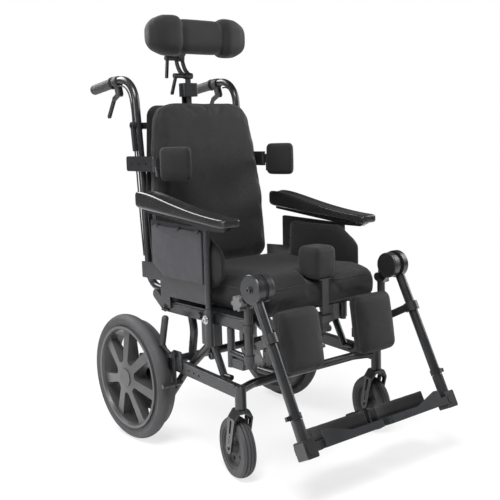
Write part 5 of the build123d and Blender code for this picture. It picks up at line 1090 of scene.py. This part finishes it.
class FootRest(SidePiece):
    """A foot plate and its webbing heel loop, split from the CAD node."""

    # Distance within which corners of the CAD solids are one, in metres.
    WELD = 0.00002
    # The wave of the loop's webbing: its height in metres, and its scale.
    LOOP_WAVE = 0.0012
    LOOP_WAVE_SCALE = 40
    # The patch follows an ellipse, set off from it and turning from START by SPAN degrees.
    PATCH_MIDDLE = (117, 55)
    PATCH_RADII = (101, 50)
    PATCH_OFFSET = (-2.4, 3.4)
    PATCH_START = 200
    PATCH_SPAN = 58
    PATCH_STEPS = 14
    PATCH_HEIGHTS = (-421, -410, -399, -388, -378)
    PATCH_THICK = 0.0022
    # The rumples of its edges and the bulges of its face.
    RUMPLE = 1.6
    RUMPLE_STEP = 0.55
    BULGE = 1.2
    BULGE_STEP = 0.7
    BULGE_LENGTH = 9

    def build(self, nodes: dict[str, bpy.types.Object]) -> None:
        """Makes the plate, the loop and the loop's overlap patch.

        Args:
            nodes: The CAD nodes by name.
        """
        name = self.side.name
        body = f"{name}_foot_plate"
        shell = bmesh.new()
        shell.from_mesh(nodes[body].data)
        bmesh.ops.remove_doubles(shell, verts=shell.verts[:], dist=self.WELD)
        band = {vert.index for vert in min(self._islands(shell), key=len)}
        loop = shell.copy()
        others = [vert for vert in shell.verts if vert.index in band]
        bmesh.ops.delete(shell, geom=others, context="VERTS")
        others = [vert for vert in loop.verts if vert.index not in band]
        bmesh.ops.delete(loop, geom=others, context="VERTS")
        board, slot = f"{name}_foot_board", "moulded_pad"
        plate = new_piece(board, shell, Finishes.FOOT_BOARD, body, smooth=False)
        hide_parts(body)
        bmesh.ops.subdivide_edges(loop, edges=loop.edges[:], cuts=2, use_grid_fill=True)
        for vert in loop.verts:
            wave = noise.noise(vert.co * self.LOOP_WAVE_SCALE)
            vert.co += Vector((0.0, 1.0, 0.0)) * self.LOOP_WAVE * wave
        new_piece(f"{name}_heel_loop", loop, Finishes.WEBBING, body)
        self._patch(body)

    def _islands(self, shell: Shell) -> list[list[Vert]]:
        """Lists the separate closed parts of a mesh."""
        shell.verts.index_update()
        seen: set[int] = set()
        parts = []
        for start in shell.verts:
            if start.index in seen:
                continue
            part, queue = [], [start]
            seen.add(start.index)
            while queue:
                vert = queue.pop()
                part.append(vert)
                for edge in vert.link_edges:
                    other = edge.other_vert(vert)
                    if other.index not in seen:
                        seen.add(other.index)
                        queue.append(other)
            parts.append(part)
        return parts

    def _patch(self, body: str) -> None:
        """Makes the rumpled hook-and-loop overlap at the loop's inner end."""
        shell = bmesh.new()
        sheet(shell, [self._column(shell, i) for i in range(self.PATCH_STEPS + 1)])
        bmesh.ops.solidify(shell, geom=shell.faces[:], thickness=self.PATCH_THICK)
        name = f"{self.side.name}_loop_overlap"
        new_piece(name, shell, Finishes.WEBBING, body)

    def _column(self, shell: Shell, i: int) -> list[Vert]:
        """Adds the patch's points at one step of its arc."""
        sign = self.side.sign
        turn = math.radians(self.PATCH_START - self.PATCH_SPAN * i / self.PATCH_STEPS)
        x = self.PATCH_MIDDLE[0] + self.PATCH_RADII[0] * math.cos(turn)
        y = self.PATCH_MIDDLE[1] + self.PATCH_RADII[1] * max(0.0, math.sin(turn))
        x += self.PATCH_OFFSET[0]
        y += self.PATCH_OFFSET[1]
        rumple = self.RUMPLE * noise.noise(Vector((i * self.RUMPLE_STEP, sign, 0.0)))
        column = []
        for z in self.PATCH_HEIGHTS:
            wave = Vector((i * self.BULGE_STEP, z / self.BULGE_LENGTH, sign))
            bulge = self.BULGE * noise.noise(wave)
            column.append(shell.verts.new(self.drawing.leg(sign * x, y + bulge, z + rumple)))
        return column


@dataclass(frozen=True)
class Bolt:
    """A socket-head bolt on its washer.

    Attributes:
        name: The piece's name.
        body: The body that it rides.
        at: The middle of its seat.
        axis: The way that it points.
        radius: Its head's radius.
        finish: Its finish.
        slot: The name of a record's slot; it is not used.
    """

    name: str
    body: str
    at: Vector
    axis: Vector
    radius: float
    finish: Finish
    slot: str

    SEGMENTS = 24
    WASHER_THICK = 0.0015
    # Shares of the head's radius.
    WASHER = 1.5
    HEIGHT = 0.62
    BEVEL_WIDTH = 0.14
    BEVEL_HEIGHT = 0.1
    RIM = 0.36
    SOCKET_DRAFT = 0.02
    # Share of the head's height.
    SOCKET_DEPTH = 0.5

    def build(self) -> bpy.types.Object:
        """Makes the washer and the bevelled head with its socket."""
        shell = bmesh.new()
        radius = self.radius
        tall = radius * self.HEIGHT
        self._disc(shell, radius * self.WASHER, 0.0, self.WASHER_THICK)
        self._disc(shell, radius, self.WASHER_THICK, self.WASHER_THICK + tall)
        cap = [max(shell.faces, key=lambda face: face.calc_center_median().z)]
        insets = (
            (radius * self.BEVEL_WIDTH, radius * self.BEVEL_HEIGHT),
            (radius * self.RIM, 0.0),
            (radius * self.SOCKET_DRAFT, -tall * self.SOCKET_DEPTH),
        )
        for thickness, depth in insets:
            bmesh.ops.inset_region(shell, faces=cap, thickness=thickness, depth=depth)
        turn = self.axis.to_track_quat("Z", "Y").to_matrix().to_4x4()
        shell.transform(Matrix.Translation(self.at) @ turn)
        return new_piece(self.name, shell, self.finish, self.body, smooth=False)

    def _disc(self, shell: Shell, radius: float, low: float, high: float) -> None:
        """Adds a disc between two heights."""
        made = bmesh.ops.create_cone(
            shell,
            cap_ends=True,
            segments=self.SEGMENTS,
            radius1=radius,
            radius2=radius,
            depth=high - low,
        )
        bmesh.ops.translate(shell, verts=made["verts"], vec=(0.0, 0.0, (low + high) / 2))


def add_bolts(drawing: Drawing) -> None:
    """Puts the bolt heads on the joints and clamps that show them.

    Args:
        drawing: The part's drawing.
    """
    paint, metal = Finishes.BLACK_PAINT, "black_metal"
    for side in SIDES:
        name, sign = side.name, side.sign
        out = Vector((sign, 0.0, 0.0))
        column = drawing.spot(sign * 283.3, -170, 436)
        back = drawing.spot(sign * 263.4, 70, 436)
        knee = drawing.spot(sign * 294.4, KNEE_Y, KNEE_Z)
        leg = f"{name}_leg_tube"
        Bolt(f"{name}_column_bolts", "seat", column, out, 0.0085, Finishes.STEEL, "steel").build()
        Bolt(f"{name}_back_bolts", "back", back, out, 0.0075, paint, metal).build()
        Bolt(f"{name}_knee_bolt", leg, knee, out, 0.008, paint, metal).build()


class Lamp(NamedTuple):
    """A soft square lamp.

    Attributes:
        name: Its name.
        at: Where it hangs.
        size: The side of its square.
        power: Its power in watts.
    """

    name: str
    at: tuple[float, float, float]
    size: float
    power: float


@dataclass(frozen=True)
class Studio:
    """Camera, lamps, world and floor.

    Attributes:
        place: Where the photograph was taken from.
        yaw: How far its view is turned from +Y towards +X, in radians.
        pitch: How far the view looks down.
        roll: How far the view is rolled.
        focal: The focal length in millimetres.
    """

    place: tuple[float, float, float] = (-1.63494, -2.00684, 0.95564)
    yaw: float = 0.683587
    pitch: float = 0.139521
    roll: float = -0.029257
    focal: float = 59.67

    SENSOR = 36.0
    CLIP_END = 60.0
    # The point in the chair that the lamps look at.
    AIM = (0.0, 0.0, 0.5)
    LAMPS = (
        Lamp("key", (-1.5, -1.5, 3.3), 1.3, 150.0),
        Lamp("fill", (2.8, -1.0, 1.8), 1.8, 60.0),
        Lamp("rim", (-0.9, 2.6, 2.8), 1.6, 100.0),
        Lamp("side", (-3.2, 0.4, 1.3), 1.2, 45.0),
    )
    WHITE = (1.0, 1.0, 1.0, 1.0)
    # How strongly the white surround lights the chair, and how bright it looks itself.
    WORLD_LIGHT = 0.16
    WORLD_SEEN = 1.0
    FLOOR_REACH = 14.0
    FLOOR_INPUTS = {
        "Base Color": (0.93, 0.93, 0.93, 1.0),
        "Roughness": 0.9,
        "Specular IOR Level": 0.1,
    }
    # Distances over which the floor fades to white, and its share of white at either end.
    FADE = {"From Min": 0.45, "From Max": 1.5, "To Min": 0.72, "To Max": 1.0}

    def camera(self) -> None:
        """Sets the camera where the photograph was taken from."""
        data = bpy.data.cameras.new("camera")
        data.lens = self.focal
        data.sensor_width = self.SENSOR
        data.clip_end = self.CLIP_END
        camera = bpy.data.objects.new("camera", data)
        bpy.context.scene.collection.objects.link(camera)
        flat = math.cos(self.pitch)
        down = -math.sin(self.pitch)
        ahead = Vector((math.sin(self.yaw) * flat, math.cos(self.yaw) * flat, down))
        level = Vector((math.cos(self.yaw), -math.sin(self.yaw), 0.0))
        above = level.cross(ahead)
        side = level * math.cos(self.roll) + above * math.sin(self.roll)
        top = above * math.cos(self.roll) - level * math.sin(self.roll)
        turn = Matrix((side, top, -ahead)).transposed().to_4x4()
        camera.matrix_world = Matrix.Translation(self.place) @ turn
        bpy.context.scene.camera = camera

    def lamp(self, kind: Lamp) -> None:
        """Adds a lamp that looks at the chair.

        Args:
            kind: The lamp.
        """
        data = bpy.data.lights.new(kind.name, "AREA")
        data.shape = "SQUARE"
        data.size = kind.size
        data.energy = kind.power
        lamp = bpy.data.objects.new(kind.name, data)
        bpy.context.scene.collection.objects.link(lamp)
        lamp.location = kind.at
        way = Vector(self.AIM) - Vector(kind.at)
        lamp.rotation_euler = way.to_track_quat("-Z", "Y").to_euler()

    def world(self) -> None:
        """Adds a white surround that is dimmer as a light than it looks."""
        world = bpy.data.worlds.new("surround")
        world.use_nodes = True
        bpy.context.scene.world = world
        tree = world.node_tree
        tree.nodes.clear()
        out = tree.nodes.new("ShaderNodeOutputWorld")
        mix = tree.nodes.new("ShaderNodeMixShader")
        light = tree.nodes.new("ShaderNodeBackground")
        set_inputs(light, {"Color": self.WHITE, "Strength": self.WORLD_LIGHT})
        seen = tree.nodes.new("ShaderNodeBackground")
        set_inputs(seen, {"Color": self.WHITE, "Strength": self.WORLD_SEEN})
        path = tree.nodes.new("ShaderNodeLightPath")
        either = tree.nodes.new("ShaderNodeMath")
        either.operation = "MAXIMUM"
        tree.links.new(path.outputs["Is Camera Ray"], either.inputs[0])
        tree.links.new(path.outputs["Is Transmission Ray"], either.inputs[1])
        tree.links.new(either.outputs[0], mix.inputs["Fac"])
        tree.links.new(light.outputs[0], mix.inputs[1])
        tree.links.new(seen.outputs[0], mix.inputs[2])
        tree.links.new(mix.outputs[0], out.inputs["Surface"])

    def floor(self) -> None:
        """Adds a pale floor that keeps the chair's soft shadow."""
        mesh = bpy.data.meshes.new("floor")
        grid = bmesh.new()
        bmesh.ops.create_grid(grid, x_segments=2, y_segments=2, size=self.FLOOR_REACH)
        grid.to_mesh(mesh)
        grid.free()
        floor = bpy.data.objects.new("floor", mesh)
        bpy.context.scene.collection.objects.link(floor)
        mesh.materials.append(self._paper())

    def _paper(self) -> bpy.types.Material:
        """Makes the floor's material, which the camera sees fade to white."""
        material = bpy.data.materials.new("floor_paper")
        material.use_nodes = True
        tree = material.node_tree
        shader = tree.nodes["Principled BSDF"]
        set_inputs(shader, self.FLOOR_INPUTS)
        path = tree.nodes.new("ShaderNodeLightPath")
        glow = tree.nodes.new("ShaderNodeEmission")
        set_inputs(glow, {"Strength": 1.0})
        place = tree.nodes.new("ShaderNodeTexCoord")
        reach = tree.nodes.new("ShaderNodeVectorMath")
        reach.operation = "LENGTH"
        tree.links.new(place.outputs["Object"], reach.inputs[0])
        fade = tree.nodes.new("ShaderNodeMapRange")
        fade.interpolation_type = "SMOOTHSTEP"
        set_inputs(fade, self.FADE)
        tree.links.new(reach.outputs["Value"], fade.inputs["Value"])
        mix = tree.nodes.new("ShaderNodeMixShader")
        share = tree.nodes.new("ShaderNodeMath")
        share.operation = "MULTIPLY"
        tree.links.new(path.outputs["Is Camera Ray"], share.inputs[0])
        tree.links.new(fade.outputs["Result"], share.inputs[1])
        tree.links.new(share.outputs[0], mix.inputs["Fac"])
        tree.links.new(shader.outputs[0], mix.inputs[1])
        tree.links.new(glow.outputs[0], mix.inputs[2])
        tree.links.new(mix.outputs[0], tree.nodes["Material Output"].inputs["Surface"])
        return material

    def build(self) -> None:
        """Sets up the whole studio."""
        bpy.context.scene.view_settings.view_transform = "Standard"
        self.camera()
        self.world()
        self.floor()
        for kind in self.LAMPS:
            self.lamp(kind)


def main() -> None:
    """Builds the chair's looks in order."""
    logging.basicConfig(level=logging.INFO)
    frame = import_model()
    nodes = frame["nodes"]
    Studio().build()
    dress_nodes(nodes)
    drawing = Drawing.measured()
    add_upholstery(drawing, nodes)
    for side in SIDES:
        SidePanelCover(drawing, side).build()
        FootRest(drawing, side).build(nodes)
        ArmPad(drawing, side).build()
    RightLateralArm(drawing).build()
    add_bolts(drawing)
    add_piping(drawing)


if __name__ == "__main__":
    main()
